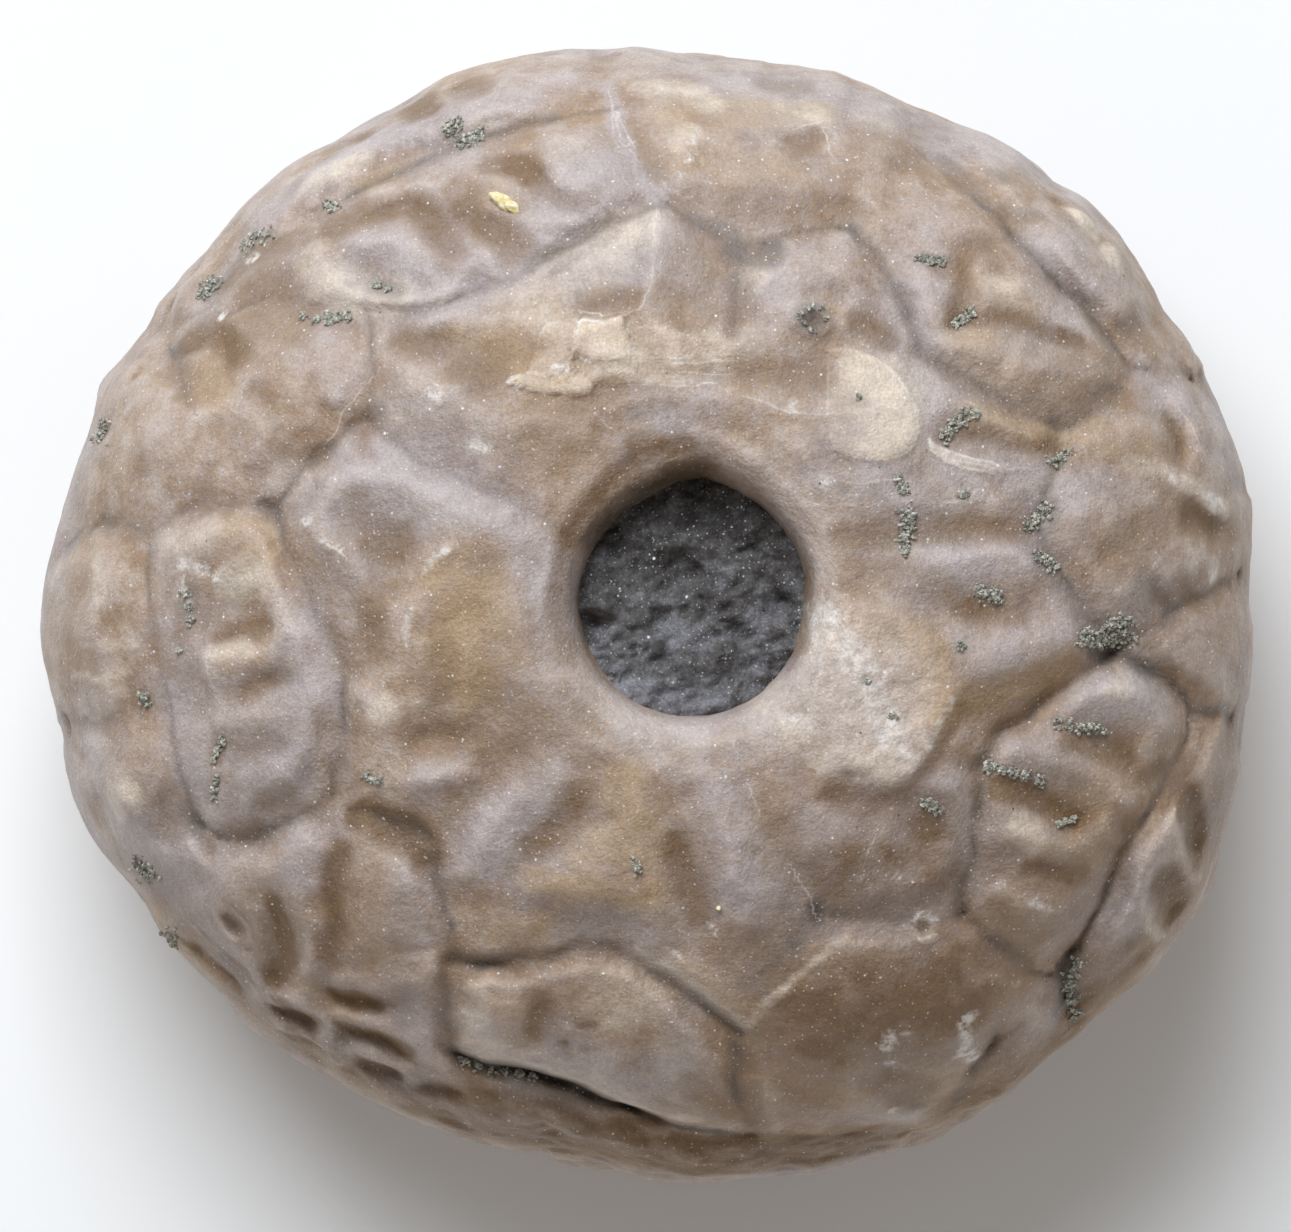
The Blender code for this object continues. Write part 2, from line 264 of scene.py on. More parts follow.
# The lie of the plates: folds that run through x, y and a height over the smooth bun. The
# surface is stretched flat between them like a tent, and then softened as worn stone is.
FOLDS = [
    # brim of the pit
    [(5.6, 1.9, -0.05), (4.4, 3.9, 0.0), (1.2, 5.2, -0.05), (-1.6, 4.4, 0.02), (-3.2, 1.9, 0.08)],
    [(-3.6, 0.3, 0.08), (-3.0, -1.8, 0.08), (-1.0, -3.6, 0.1), (1.4, -4.2, 0.1), (3.6, -3.8, 0.06)],
    # left of the pit
    [(-2.2, 2.4, 0.0), (-4.0, 3.3, -0.15), (-6.0, 4.2, -0.28), (-7.3, 5.15, -0.42)],
    [(-1.4, 5.3, 0.1), (-4.0, 5.4, 0.15), (-5.6, 5.9, 0.22), (-6.4, 6.3, 0.12)],
    [(-4.9, 2.7, 0.15), (-6.9, 3.7, 0.18), (-8.3, 3.6, 0.12)],
    [(-6.4, 2.2, -0.22), (-7.0, 1.6, -0.25), (-7.8, 2.6, -0.12)],
    [(-9.0, 2.5, 0.05), (-8.0, 1.6, 0.12), (-7.4, 0.9, 0.02), (-7.3, -0.4, -0.14)],
    [(-5.3, 1.7, 0.18), (-5.8, 1.1, 0.18), (-6.2, 0.2, 0.24), (-6.2, -0.9, 0.2), (-5.8, -1.8, 0.1)],
    [(-4.4, -0.9, 0.08), (-4.4, -2.2, 0.02), (-4.7, -3.2, -0.14), (-5.8, -3.2, -0.18), (-6.3, -3.6, -0.1)],
    [(-7.6, -2.1, 0.0), (-6.9, -2.4, 0.16), (-6.3, -2.3, 0.1)],
    [(-6.9, -2.9, 0.12), (-7.2, -3.6, 0.02), (-7.2, -4.5, -0.05)],
    [(-6.3, -4.4, 0.12), (-5.7, -4.4, 0.25), (-4.9, -4.1, 0.12)],
    [(-7.8, -5.1, -0.2), (-7.0, -5.4, -0.3), (-6.1, -5.7, -0.38), (-5.5, -6.1, -0.42)],
    [(-5.5, -6.1, -0.42), (-5.55, -6.9, -0.34), (-5.3, -7.8, -0.3), (-5.1, -8.8, -0.3)],
    [(-5.0, -5.5, -0.42), (-4.5, -4.9, -0.3), (-3.8, -4.2, -0.2), (-2.8, -3.3, -0.06)],
    # below the pit
    [(-5.0, -6.8, 0.0), (-4.5, -6.1, 0.08), (-3.9, -5.4, 0.08), (-3.1, -4.6, 0.05)],
    [(-3.9, -7.2, -0.08), (-2.9, -6.1, -0.08), (-2.0, -5.4, -0.12), (-1.6, -4.5, -0.06)],
    [(-0.3, -4.9, 0.18), (-0.5, -5.9, 0.15), (-1.3, -6.3, 0.14), (-2.2, -6.6, 0.12)],
    [(-3.2, -7.3, 0.1), (-2.2, -7.15, 0.22), (-1.0, -7.3, 0.25), (0.2, -7.45, 0.18)],
    [(-3.8, -8.0, -0.05), (-2.0, -8.0, -0.04), (-0.4, -8.1, -0.05)],
    [(-4.9, -8.8, -0.2), (-4.0, -8.85, -0.18), (-2.5, -8.6, -0.15), (-1.4, -8.4, -0.15), (-0.3, -8.6, -0.12)],
    [(-0.3, -8.6, -0.12), (0.9, -9.3, -0.05), (1.8, -9.9, -0.05), (2.8, -10.6, -0.15)],
    [
        (-5.0, -9.1, -0.55), (-4.0, -9.25, -0.5), (-2.5, -9.0, -0.42), (-1.4, -8.8, -0.38),
        (-0.4, -9.05, -0.42),
    ],
    [(-0.4, -9.05, -0.42), (0.6, -9.8, -0.45), (1.6, -10.4, -0.5), (2.5, -11.0, -0.6)],
    [(0.8, -5.8, -0.02), (1.1, -6.8, -0.16), (1.35, -7.8, -0.2), (1.9, -8.8, -0.12)],
    [(1.6, -4.6, 0.12), (2.2, -5.7, 0.22), (2.5, -7.0, 0.2), (2.9, -8.2, 0.05)],
    [(2.7, -10.1, -0.28), (3.2, -9.4, -0.34), (4.0, -8.7, -0.36), (4.6, -7.8, -0.5)],
    [(2.5, -3.4, 0.08), (2.6, -4.4, 0.05), (3.3, -5.7, -0.06), (4.0, -7.0, -0.15), (4.5, -7.7, -0.45)],
    [(3.9, -4.8, 0.1), (4.7, -5.4, 0.14), (5.5, -5.9, 0.1), (6.2, -6.6, 0.03)],
    # lower right of the pit, under the scar
    [
        (4.3, -4.3, 0.05), (5.3, -4.1, 0.12), (6.4, -4.4, 0.16), (7.1, -4.15, 0.2), (7.8, -3.0, 0.2),
        (8.4, -1.95, 0.14),
    ],
    [
        (4.6, -4.75, 0.0), (5.6, -4.85, -0.02), (6.6, -4.85, 0.0), (7.4, -4.4, 0.04), (8.0, -3.2, 0.04),
        (8.65, -2.15, -0.05),
    ],
    [(4.6, -0.2, 0.05), (5.5, -1.7, 0.02), (6.3, -2.8, 0.02), (6.6, -3.5, 0.08)],
    [(5.4, 0.5, 0.0), (6.6, 0.0, 0.1), (7.5, -0.9, 0.14)],
    [(6.6, -5.7, -0.02), (7.3, -5.6, -0.2), (7.5, -6.2, -0.12)],
    [(8.7, -2.5, -0.22), (9.4, -2.4, -0.28), (10.4, -1.9, -0.25)],
    [(8.5, -3.2, -0.04), (8.2, -3.9, 0.0), (7.8, -4.6, 0.08), (8.2, -4.5, 0.06)],
    [(8.2, -5.6, -0.02), (8.0, -6.6, 0.0), (7.2, -7.2, 0.05), (5.4, -7.1, 0.0)],
    # south-east plate
    [(4.7, -7.9, -0.5), (5.6, -8.05, -0.32), (6.6, -8.05, -0.3), (7.5, -8.1, -0.35), (8.4, -8.0, -0.55)],
    [(3.1, -10.7, -0.12), (4.0, -9.9, -0.04), (5.2, -8.9, 0.0), (6.5, -8.7, 0.0), (8.0, -8.8, -0.05)],
    [(4.0, -11.2, -0.02), (5.2, -10.4, 0.1), (6.8, -10.2, 0.12), (8.2, -10.4, 0.1)],
    [(4.8, -12.5, 0.1), (6.0, -12.5, 0.1), (6.5, -11.5, 0.15), (8.6, -11.2, 0.12)],
    [(6.7, -12.8, -0.15), (7.2, -12.9, -0.2)],
    [(9.5, -9.7, 0.0), (10.0, -10.4, 0.0), (10.7, -10.8, 0.05), (10.4, -11.7, 0.05), (9.4, -12.6, 0.0)],
    [(10.0, -10.8, -0.12), (9.3, -11.5, -0.45), (8.7, -12.5, -0.55), (8.3, -13.2, -0.4)],
    [(3.2, -13.2, 0.0), (4.6, -13.1, 0.08), (6.2, -13.2, 0.08), (7.4, -13.4, 0.0)],
    [(3.4, -13.9, -0.25), (5.0, -13.8, -0.3), (6.5, -13.8, -0.3), (7.4, -13.9, -0.1)],
    [(2.55, -11.1, -0.45), (2.4, -12.0, -0.2), (2.5, -13.0, -0.22), (2.8, -13.7, -0.3)],
    # south plate
    [(-4.6, -9.8, -0.02), (-3.0, -9.7, 0.02), (-1.5, -9.3, 0.04), (-0.4, -9.7, 0.06), (0.7, -10.6, 0.04)],
    [(0.7, -10.6, 0.04), (1.5, -11.3, 0.0), (1.9, -12.2, -0.04)],
    [(-4.2, -10.6, 0.1), (-3.5, -10.3, 0.14)],
    [(-2.6, -10.3, -0.1), (-2.9, -11.0, -0.12)],
    [(-2.0, -10.5, 0.04), (-1.0, -10.2, 0.12), (-0.2, -11.4, 0.1), (1.0, -12.2, 0.06)],
    [(-4.8, -11.4, 0.0), (-3.6, -11.75, 0.06), (-2.4, -12.0, 0.06), (-1.2, -12.5, 0.06), (-0.3, -12.9, 0.05)],
    [(-0.3, -12.9, 0.05), (1.0, -13.2, 0.0), (2.1, -13.4, -0.08)],
    [
        (-5.1, -11.65, -0.6), (-4.3, -12.0, -1.2), (-3.0, -12.25, -1.3), (-1.9, -12.6, -1.3),
        (-0.9, -13.05, -1.1),
    ],
    [(-0.9, -13.05, -1.1), (0.3, -13.5, -0.7), (1.5, -13.75, -0.5), (2.8, -13.85, -0.3)],
    [(-5.15, -9.3, -0.4), (-5.3, -10.4, -0.25), (-5.2, -11.4, -0.4)],
    # south-west
    [(-7.5, -6.0, 0.06), (-7.1, -7.2, 0.12), (-7.0, -8.4, 0.1)],
    [(-6.3, -7.0, 0.1), (-6.2, -8.6, 0.1), (-6.4, -9.3, 0.04)],
    [(-8.1, -6.2, -0.06), (-8.4, -7.0, -0.14), (-8.2, -7.9, -0.18), (-8.2, -8.7, -0.26), (-8.5, -9.4, -0.16)],
    [(-9.0, -5.9, 0.06), (-9.3, -6.6, 0.12), (-9.2, -7.4, 0.14), (-8.95, -8.2, 0.14), (-8.95, -9.2, 0.16)],
    [(-9.9, -7.4, -0.05), (-9.6, -8.2, -0.25), (-9.5, -9.0, -0.3), (-9.85, -9.7, -0.22)],
    [(-11.9, -6.4, 0.05), (-11.2, -6.8, 0.08), (-10.6, -6.7, 0.05)],
    [(-11.4, -7.9, 0.0), (-11.0, -7.5, 0.12), (-10.5, -7.8, 0.16), (-10.3, -8.4, 0.14), (-10.6, -8.7, 0.02)],
    [(-10.85, -8.2, -0.1)],
    [
        (-11.4, -8.35, 0.12), (-10.8, -8.85, 0.15), (-10.4, -9.35, 0.15), (-10.3, -9.95, 0.15),
        (-9.8, -10.25, 0.1),
    ],
    [(-11.8, -8.6, -0.12), (-11.2, -9.1, -0.2), (-10.7, -9.6, -0.2), (-10.6, -10.2, -0.12)],
    [(-11.6, -9.4, 0.08), (-11.1, -9.9, 0.08), (-10.9, -10.4, 0.06)],
    [(-9.9, -10.1, 0.1), (-9.3, -10.25, 0.14), (-8.7, -10.6, 0.12), (-8.3, -10.9, 0.12)],
    [(-10.0, -10.5, -0.12), (-9.4, -10.6, -0.2), (-8.9, -10.9, -0.18)],
    [(-9.6, -11.0, 0.1), (-9.0, -11.05, 0.14), (-8.4, -11.5, 0.12), (-8.0, -11.95, 0.08)],
    [(-9.5, -11.4, -0.12), (-9.0, -11.5, -0.2), (-8.6, -11.9, -0.16)],
    [(-8.1, -9.85, 0.08), (-7.1, -9.95, 0.12), (-6.2, -9.75, 0.14), (-5.5, -9.35, 0.1)],
    [(-8.2, -10.15, -0.16), (-7.3, -10.3, -0.22), (-6.3, -10.2, -0.14)],
    [
        (-8.2, -10.75, 0.12), (-7.6, -10.7, 0.14), (-6.8, -11.1, 0.14), (-6.0, -11.45, 0.12),
        (-5.4, -11.9, 0.06),
    ],
    [(-8.1, -11.15, -0.16), (-7.4, -11.25, -0.22), (-6.6, -11.55, -0.2), (-6.0, -11.9, -0.12)],
    [(-7.8, -11.55, 0.12), (-7.2, -11.6, 0.14), (-6.6, -11.95, 0.12), (-5.9, -12.3, 0.08)],
    [(-7.7, -11.95, -0.16), (-7.1, -12.1, -0.22), (-6.5, -12.4, -0.16)],
    [(-7.4, -12.4, 0.06), (-6.6, -12.75, 0.06), (-5.6, -13.0, 0.04)],
    [(-5.8, -12.5, -0.12), (-5.0, -12.7, -0.16)],
    # under the south crevice
    [
        (-4.4, -13.1, 0.0), (-2.9, -13.35, 0.05), (-1.6, -13.7, 0.05), (-0.2, -14.05, 0.06),
        (1.2, -14.35, 0.06),
    ],
    [
        (-5.5, -12.2, -0.1), (-4.3, -12.75, -0.1), (-3.0, -13.0, -0.1), (-1.9, -13.35, -0.1),
        (-0.9, -13.75, -0.1),
    ],
    [(-0.9, -13.75, -0.1), (0.3, -14.05, -0.05), (1.5, -14.25, 0.0), (2.8, -14.3, 0.05)],
    [(-4.6, -13.4, 0.06), (-3.5, -13.4, 0.1), (-2.9, -13.8, 0.06)],
    [(-2.7, -13.45, -0.12), (-2.3, -13.8, -0.14)],
    [(-1.4, -14.1, -0.14), (-0.8, -14.35, -0.12)],
    # west plate, its edges and its knobs
    [(-12.9, 2.3, -0.3), (-12.2, 2.75, -0.3), (-11.2, 2.95, -0.32), (-10.3, 2.95, -0.42), (-9.85, 2.7, -0.6)],
    [(-9.85, 2.7, -0.6), (-9.2, 1.2, -0.4), (-8.6, 0.0, -0.38), (-8.1, -1.0, -0.4), (-8.0, -2.5, -0.42)],
    [(-8.0, -2.5, -0.42), (-8.1, -3.8, -0.45), (-8.3, -4.8, -0.5), (-9.4, -5.4, -0.38), (-10.2, -5.8, -0.42)],
    [(-10.2, -5.8, -0.42), (-10.9, -5.95, -0.48), (-11.7, -5.6, -0.52), (-12.0, -5.1, -0.45)],
    [
        (-12.0, -5.1, -0.4), (-12.3, -4.2, -0.22), (-12.5, -3.2, -0.2), (-12.8, -1.6, -0.16),
        (-13.1, 0.0, -0.18),
    ],
    [(-13.1, 0.0, -0.25), (-13.15, 1.6, -0.26), (-12.9, 2.3, -0.3)],
    [(-12.3, 1.8, 0.06), (-11.4, 2.2, 0.16), (-10.4, 2.1, 0.2), (-10.0, 1.2, 0.16), (-9.7, 0.2, 0.12)],
    [(-9.7, 0.2, 0.12), (-9.2, -0.9, 0.1), (-9.0, -2.2, 0.1), (-9.1, -3.4, 0.1), (-9.5, -4.4, 0.06)],
    [(-12.0, 0.6, -0.18), (-11.2, 0.5, -0.18), (-10.5, 0.5, -0.14)],
    [(-11.4, -0.5, -0.1), (-10.8, -0.35, -0.16), (-10.0, -0.1, -0.16)],
    [(-11.4, -1.2, 0.1), (-10.6, -1.1, 0.18), (-9.9, -0.95, 0.16)],
    [(-10.6, -1.9, -0.12), (-9.8, -1.75, -0.14)],
    [(-10.5, -2.6, 0.08), (-9.8, -2.6, 0.1)],
    [(-10.5, -3.35, -0.06), (-9.8, -3.3, -0.08)],
    [(-10.4, -4.0, 0.05), (-9.8, -4.0, 0.08)],
    [(-10.5, -5.0, -0.06), (-9.9, -4.7, -0.05)],
    [(-12.4, -0.9, -0.12), (-12.0, -2.2, -0.14), (-11.7, -3.4, -0.14), (-11.4, -4.6, -0.14)],
    # west rim
    [(-14.4, 1.6, 0.1), (-14.6, 0.0, 0.12), (-14.3, -1.3, 0.05)],
    [(-14.2, -3.4, 0.14), (-13.7, -4.9, 0.14), (-13.0, -5.9, 0.05)],
    [(-13.3, 2.3, -0.25), (-14.2, 2.5, -0.3), (-15.0, 2.3, -0.3), (-15.5, 1.9, -0.3)],
    # upper left
    [(-7.3, 5.15, -0.45), (-7.9, 5.0, -0.48), (-8.5, 4.4, -0.5), (-9.2, 3.7, -0.38), (-9.8, 3.0, -0.5)],
    [(-11.0, 4.0, 0.02), (-9.8, 4.6, 0.0), (-9.0, 5.2, 0.05)],
    [(-11.9, 5.3, 0.12), (-10.8, 5.7, 0.14), (-10.3, 6.5, 0.18), (-9.0, 6.1, 0.16), (-8.2, 5.8, 0.1)],
    [(-12.0, 7.3, -0.1), (-11.1, 7.6, -0.18), (-10.8, 7.0, -0.12)],
    [(-9.6, 7.6, 0.05), (-8.4, 7.1, 0.1), (-8.0, 6.4, 0.08)],
    [(-7.25, 5.3, -0.38), (-7.25, 6.3, -0.18), (-7.2, 7.3, -0.15), (-7.4, 8.1, -0.22)],
    [(-12.9, 7.9, -0.3), (-11.3, 8.1, -0.28), (-10.2, 8.4, -0.2), (-9.0, 8.2, -0.22), (-7.5, 8.1, -0.22)],
    [(-7.5, 8.1, -0.22), (-6.3, 8.0, -0.14), (-5.0, 8.35, -0.18)],
    [(-12.7, 7.4, -0.1), (-12.4, 6.5, -0.2), (-12.0, 5.6, -0.08)],
    [(-13.4, 5.8, 0.08), (-13.3, 4.6, 0.1), (-12.6, 4.2, 0.08)],
    [(-6.2, 7.4, -0.12), (-5.4, 7.2, -0.12), (-4.5, 7.0, -0.08)],
    [(-6.6, 6.9, 0.06), (-5.3, 6.6, 0.04)],
    [(-5.8, 7.9, 0.06), (-4.4, 7.9, 0.06), (-3.2, 7.6, 0.06)],
    # top left, below the rim seam
    [(-8.7, 9.6, 0.06), (-8.1, 8.8, 0.12), (-7.1, 8.4, 0.1), (-5.8, 8.4, 0.12), (-5.0, 8.8, 0.1)],
    [(-8.2, 9.9, -0.15), (-7.8, 9.3, -0.18), (-7.1, 8.8, -0.25), (-6.4, 8.9, -0.1)],
    [(-7.6, 10.0, 0.06), (-6.4, 9.9, 0.12), (-5.0, 9.3, 0.1), (-4.2, 9.5, 0.08)],
    [(-8.3, 10.4, -0.12), (-7.2, 10.7, -0.15), (-6.1, 10.8, -0.15), (-5.5, 10.3, -0.17), (-5.3, 9.7, -0.1)],
    [(-7.2, 11.2, 0.04), (-6.0, 11.6, 0.08), (-5.2, 11.2, 0.08), (-4.7, 11.7, 0.16), (-4.3, 11.5, 0.1)],
    [(-3.9, 12.05, -0.1), (-3.2, 11.95, -0.26), (-2.9, 11.6, -0.16), (-2.3, 11.1, -0.08)],
    [(-2.5, 12.0, 0.14), (-2.2, 11.5, 0.1), (-1.5, 11.3, 0.12), (-0.9, 11.0, 0.06)],
    [(-4.7, 10.7, -0.12), (-4.1, 10.2, -0.24), (-3.5, 9.9, -0.16)],
    [(-2.9, 10.5, 0.06), (-2.0, 10.5, 0.04)],
    [(-10.6, 9.0, -0.08), (-9.8, 9.4, -0.05), (-9.2, 9.3, 0.02)],
    [(-2.6, 12.7, 0.08), (-1.5, 12.6, 0.1), (-1.2, 11.9, 0.1)],
    # rim seam and the rim beyond it
    [(-0.9, 13.5, -0.22), (-2.5, 13.2, -0.25), (-4.0, 12.85, -0.25), (-5.3, 12.35, -0.28)],
    [
        (-5.3, 12.35, -0.28), (-6.8, 11.7, -0.28), (-8.3, 10.85, -0.28), (-9.5, 10.1, -0.15),
        (-10.6, 9.6, -0.22),
    ],
    [(-10.6, 9.6, -0.22), (-11.4, 8.6, -0.28)],
    [(-2.0, 14.2, 0.06), (-3.6, 13.6, 0.1), (-6.5, 12.6, 0.12), (-8.4, 11.6, 0.16), (-9.6, 10.9, 0.1)],
    # top
    [(0.3, 10.7, 0.1), (0.2, 9.9, 0.16), (0.1, 9.0, 0.16), (-0.05, 8.2, 0.12)],
    [(-1.3, 9.5, 0.04), (-2.4, 8.9, 0.04), (-3.6, 8.3, 0.06)],
    [(-1.6, 8.6, 0.02), (-0.6, 8.4, -0.06)],
    [(0.3, 11.0, -0.22), (-0.6, 10.55, -0.2), (-1.7, 9.95, -0.24), (-2.7, 9.4, -0.26), (-3.9, 8.9, -0.22)],
    [(-3.9, 8.9, -0.22), (-5.0, 8.45, -0.2)],
    [(0.5, 10.95, -0.26), (1.3, 10.55, -0.3), (2.1, 10.05, -0.42), (2.7, 9.75, -0.55), (3.4, 10.0, -0.36)],
    [(3.4, 10.0, -0.36), (4.5, 10.3, -0.28), (5.5, 10.25, -0.36)],
    [(1.0, 9.9, 0.04), (1.4, 9.0, 0.0), (1.1, 8.3, -0.14)],
    [(2.6, 9.3, -0.38), (2.45, 8.6, -0.26), (2.4, 7.9, -0.16), (2.2, 7.4, -0.1)],
    [(3.6, 9.2, 0.02), (4.4, 9.1, 0.06), (5.4, 9.2, 0.06), (5.7, 8.4, 0.05)],
    [(3.4, 8.0, 0.06), (4.4, 8.4, 0.04), (5.3, 7.7, 0.02)],
    [(5.8, 7.7, -0.1), (6.3, 7.4, -0.14)],
    [(0.4, 7.75, 0.05), (1.6, 7.4, 0.02), (3.2, 7.3, 0.05)],
    [(0.6, 6.5, -0.08), (2.5, 6.4, -0.12), (4.4, 6.4, -0.14)],
    [(0.4, 5.9, 0.03), (2.4, 5.8, 0.02), (4.2, 5.4, 0.0)],
    [(1.2, 11.6, 0.12), (2.5, 11.4, 0.12), (4.0, 11.4, 0.1), (5.1, 11.3, 0.04)],
    [(0.8, 12.2, 0.16), (0.95, 11.5, 0.12)],
    [(3.1, 12.6, 0.12), (3.9, 12.9, 0.12), (4.7, 13.1, 0.08)],
    [(4.2, 12.4, -0.08), (4.5, 12.7, -0.1)],
    [(4.9, 12.6, 0.1), (5.2, 12.0, 0.06), (6.4, 11.9, 0.06)],
    [(0.2, 14.0, 0.05), (1.6, 13.4, 0.05), (2.9, 13.9, 0.03), (4.4, 13.8, 0.0)],
    [(-0.9, 14.2, -0.12), (-0.8, 13.0, -0.12), (-0.4, 12.2, -0.14), (0.1, 11.5, -0.16)],
    # upper right plate
    [(5.55, 10.3, -0.36), (6.1, 9.5, -0.4), (6.7, 8.7, -0.34), (7.0, 7.9, -0.3), (7.3, 7.1, -0.26)],
    [(7.3, 7.1, -0.3), (7.9, 6.6, -0.32), (8.9, 6.1, -0.36), (9.9, 5.5, -0.36), (10.9, 5.0, -0.45)],
    [(10.9, 5.0, -0.35), (11.8, 5.4, -0.25), (12.5, 5.9, -0.3), (12.9, 6.5, -0.4)],
    [(12.9, 6.5, -0.5), (12.5, 7.3, -0.36), (11.6, 8.3, -0.32), (10.8, 9.0, -0.32), (10.2, 9.7, -0.32)],
    [(10.2, 9.7, -0.32), (9.5, 10.5, -0.32), (8.8, 11.1, -0.35), (8.0, 11.8, -0.36), (7.4, 12.3, -0.3)],
    [(6.4, 10.6, 0.02), (7.4, 10.9, 0.1), (8.4, 10.5, 0.12)],
    [(7.2, 9.5, -0.06), (7.8, 9.3, -0.1), (8.4, 9.1, -0.12), (8.3, 8.3, -0.1)],
    [(7.3, 8.6, 0.02), (7.6, 8.0, 0.02)],
    [(9.1, 9.5, 0.05), (9.2, 8.7, 0.16), (10.0, 8.7, 0.14), (9.3, 8.3, 0.05)],
    [(8.3, 7.7, -0.14), (9.4, 7.8, -0.12), (10.6, 7.4, -0.08), (11.6, 7.2, -0.06)],
    [(10.6, 8.3, 0.06), (11.4, 7.8, 0.1), (12.2, 7.1, 0.06)],
    [(8.2, 7.1, 0.05), (9.5, 7.0, 0.12), (10.6, 6.5, 0.12), (11.5, 6.5, 0.1), (12.2, 6.4, 0.0)],
    [(9.6, 6.4, 0.06), (10.8, 5.7, -0.06)],
    # upper right rim
    [(9.4, 11.7, 0.05), (10.7, 10.1, 0.06), (11.6, 9.1, 0.12), (12.6, 8.1, 0.12)],
    [(13.0, 6.65, -0.42), (13.9, 6.6, -0.36), (14.7, 6.4, -0.3)],
    # right
    [(7.8, 6.0, 0.04), (8.8, 5.5, 0.08), (9.8, 5.0, 0.08), (10.6, 4.6, 0.02)],
    [(8.6, 4.8, -0.1), (9.6, 4.5, -0.12), (10.4, 4.3, -0.16), (11.1, 4.2, -0.32)],
    [(11.7, 4.6, 0.05), (12.8, 5.0, 0.1), (13.7, 4.9, 0.05)],
    [(11.1, 4.2, -0.32), (10.7, 3.4, -0.22), (10.35, 2.5, -0.38), (10.8, 1.5, -0.25), (11.3, 0.7, -0.22)],
    [(11.3, 0.7, -0.22), (11.8, 0.0, -0.28), (12.3, -0.6, -0.5)],
    [(5.4, 3.2, 0.02), (7.4, 3.1, 0.02), (9.6, 3.1, 0.03)],
    [(5.6, 2.0, -0.15), (7.0, 2.0, -0.2), (8.4, 2.15, -0.22), (9.9, 2.15, -0.28)],
    [(7.0, 1.5, -0.02), (8.2, 1.6, 0.12), (9.6, 1.7, 0.12), (10.3, 1.2, 0.04)],
    [(8.4, 0.2, -0.14), (9.2, 0.0, -0.16), (10.0, 0.15, -0.1)],
    [(7.6, 0.2, 0.02), (7.9, -0.9, 0.08), (9.0, -0.8, 0.14), (10.4, -0.6, 0.14), (11.4, -0.4, 0.06)],
    [(9.2, -1.4, 0.12), (10.4, -1.15, 0.1), (11.6, -0.85, 0.0)],
    [(11.5, 2.6, 0.06), (12.5, 2.7, 0.14), (13.4, 2.9, 0.1)],
    [(12.0, 1.3, 0.06), (12.9, 1.5, 0.06), (12.6, 0.5, 0.04)],
    [(12.7, 3.95, 0.08), (13.9, 3.75, 0.15), (14.8, 3.2, 0.18), (15.35, 2.75, 0.16)],
    [(14.3, 2.6, -0.12), (15.0, 2.35, -0.18)],
    [(13.3, 1.9, 0.1), (14.2, 2.0, 0.12), (15.0, 1.3, 0.12)],
    [(15.8, 1.1, -0.12), (14.8, 0.6, -0.22), (13.8, 0.0, -0.28), (13.1, -0.6, -0.35), (12.5, -0.9, -0.6)],
    [(14.6, -0.2, 0.0), (13.9, -0.9, 0.02), (14.8, -1.6, 0.04)],
    [(14.3, 5.6, 0.14), (14.8, 4.5, 0.18)],
    [(13.9, 5.3, -0.1), (14.3, 4.4, -0.16)],
    # right plate with the dark seam all round it
    [(12.3, -1.0, -0.62), (11.3, -1.75, -0.5), (10.3, -2.6, -0.55), (9.4, -3.2, -0.55), (8.95, -3.9, -0.5)],
    [(8.95, -3.9, -0.5), (8.85, -5.0, -0.42), (8.75, -6.1, -0.42), (8.55, -7.0, -0.45), (8.4, -7.9, -0.55)],
    [(12.6, -1.05, -0.6), (13.3, -1.35, -0.48), (14.0, -1.8, -0.46), (14.5, -2.35, -0.5)],
    [(14.5, -2.35, -0.5), (14.4, -3.3, -0.42), (13.9, -4.4, -0.4), (13.2, -5.4, -0.42), (12.6, -6.5, -0.4)],
    [(12.6, -6.5, -0.4), (12.2, -7.6, -0.4), (11.7, -8.5, -0.5), (11.2, -9.2, -0.7), (11.2, -10.1, -0.6)],
    [(8.4, -7.9, -0.55), (9.2, -8.6, -0.45), (10.2, -9.3, -0.45), (10.9, -9.6, -0.55)],
    [(11.5, -2.3, 0.06), (12.5, -2.0, 0.16), (13.4, -2.2, 0.12), (13.8, -2.9, 0.06)],
    [(11.0, -3.05, -0.06), (12.0, -3.3, -0.2), (12.8, -3.6, -0.22)],
    [(9.6, -3.6, 0.04), (10.6, -3.75, 0.1), (12.0, -4.3, 0.12), (12.9, -4.9, 0.1)],
    [(9.5, -4.3, -0.14), (10.5, -4.85, -0.3), (11.5, -5.4, -0.2)],
    [(9.5, -5.4, 0.06), (10.3, -5.8, 0.18), (11.3, -6.2, 0.16), (12.0, -6.0, 0.06)],
    [(10.2, -6.75, -0.12), (11.5, -6.9, -0.14)],
    [(9.4, -7.2, 0.05), (10.2, -7.7, 0.14), (11.2, -7.9, 0.06), (10.6, -8.7, 0.02)],
    [(13.3, -4.1, -0.12), (13.5, -3.4, 0.05)],
    # right rim
    [(15.4, -1.0, 0.04), (15.2, -3.6, 0.04), (14.4, -4.8, 0.08), (13.5, -6.3, 0.08), (12.9, -7.8, 0.06)],
    [(12.9, -7.8, 0.06), (12.2, -9.4, 0.05), (11.9, -10.3, 0.04)],
    [(14.6, -2.45, -0.45), (15.2, -2.65, -0.42), (15.8, -2.75, -0.4)],
]
tent_points = [point for fold in FOLDS for point in rounded(fold)]
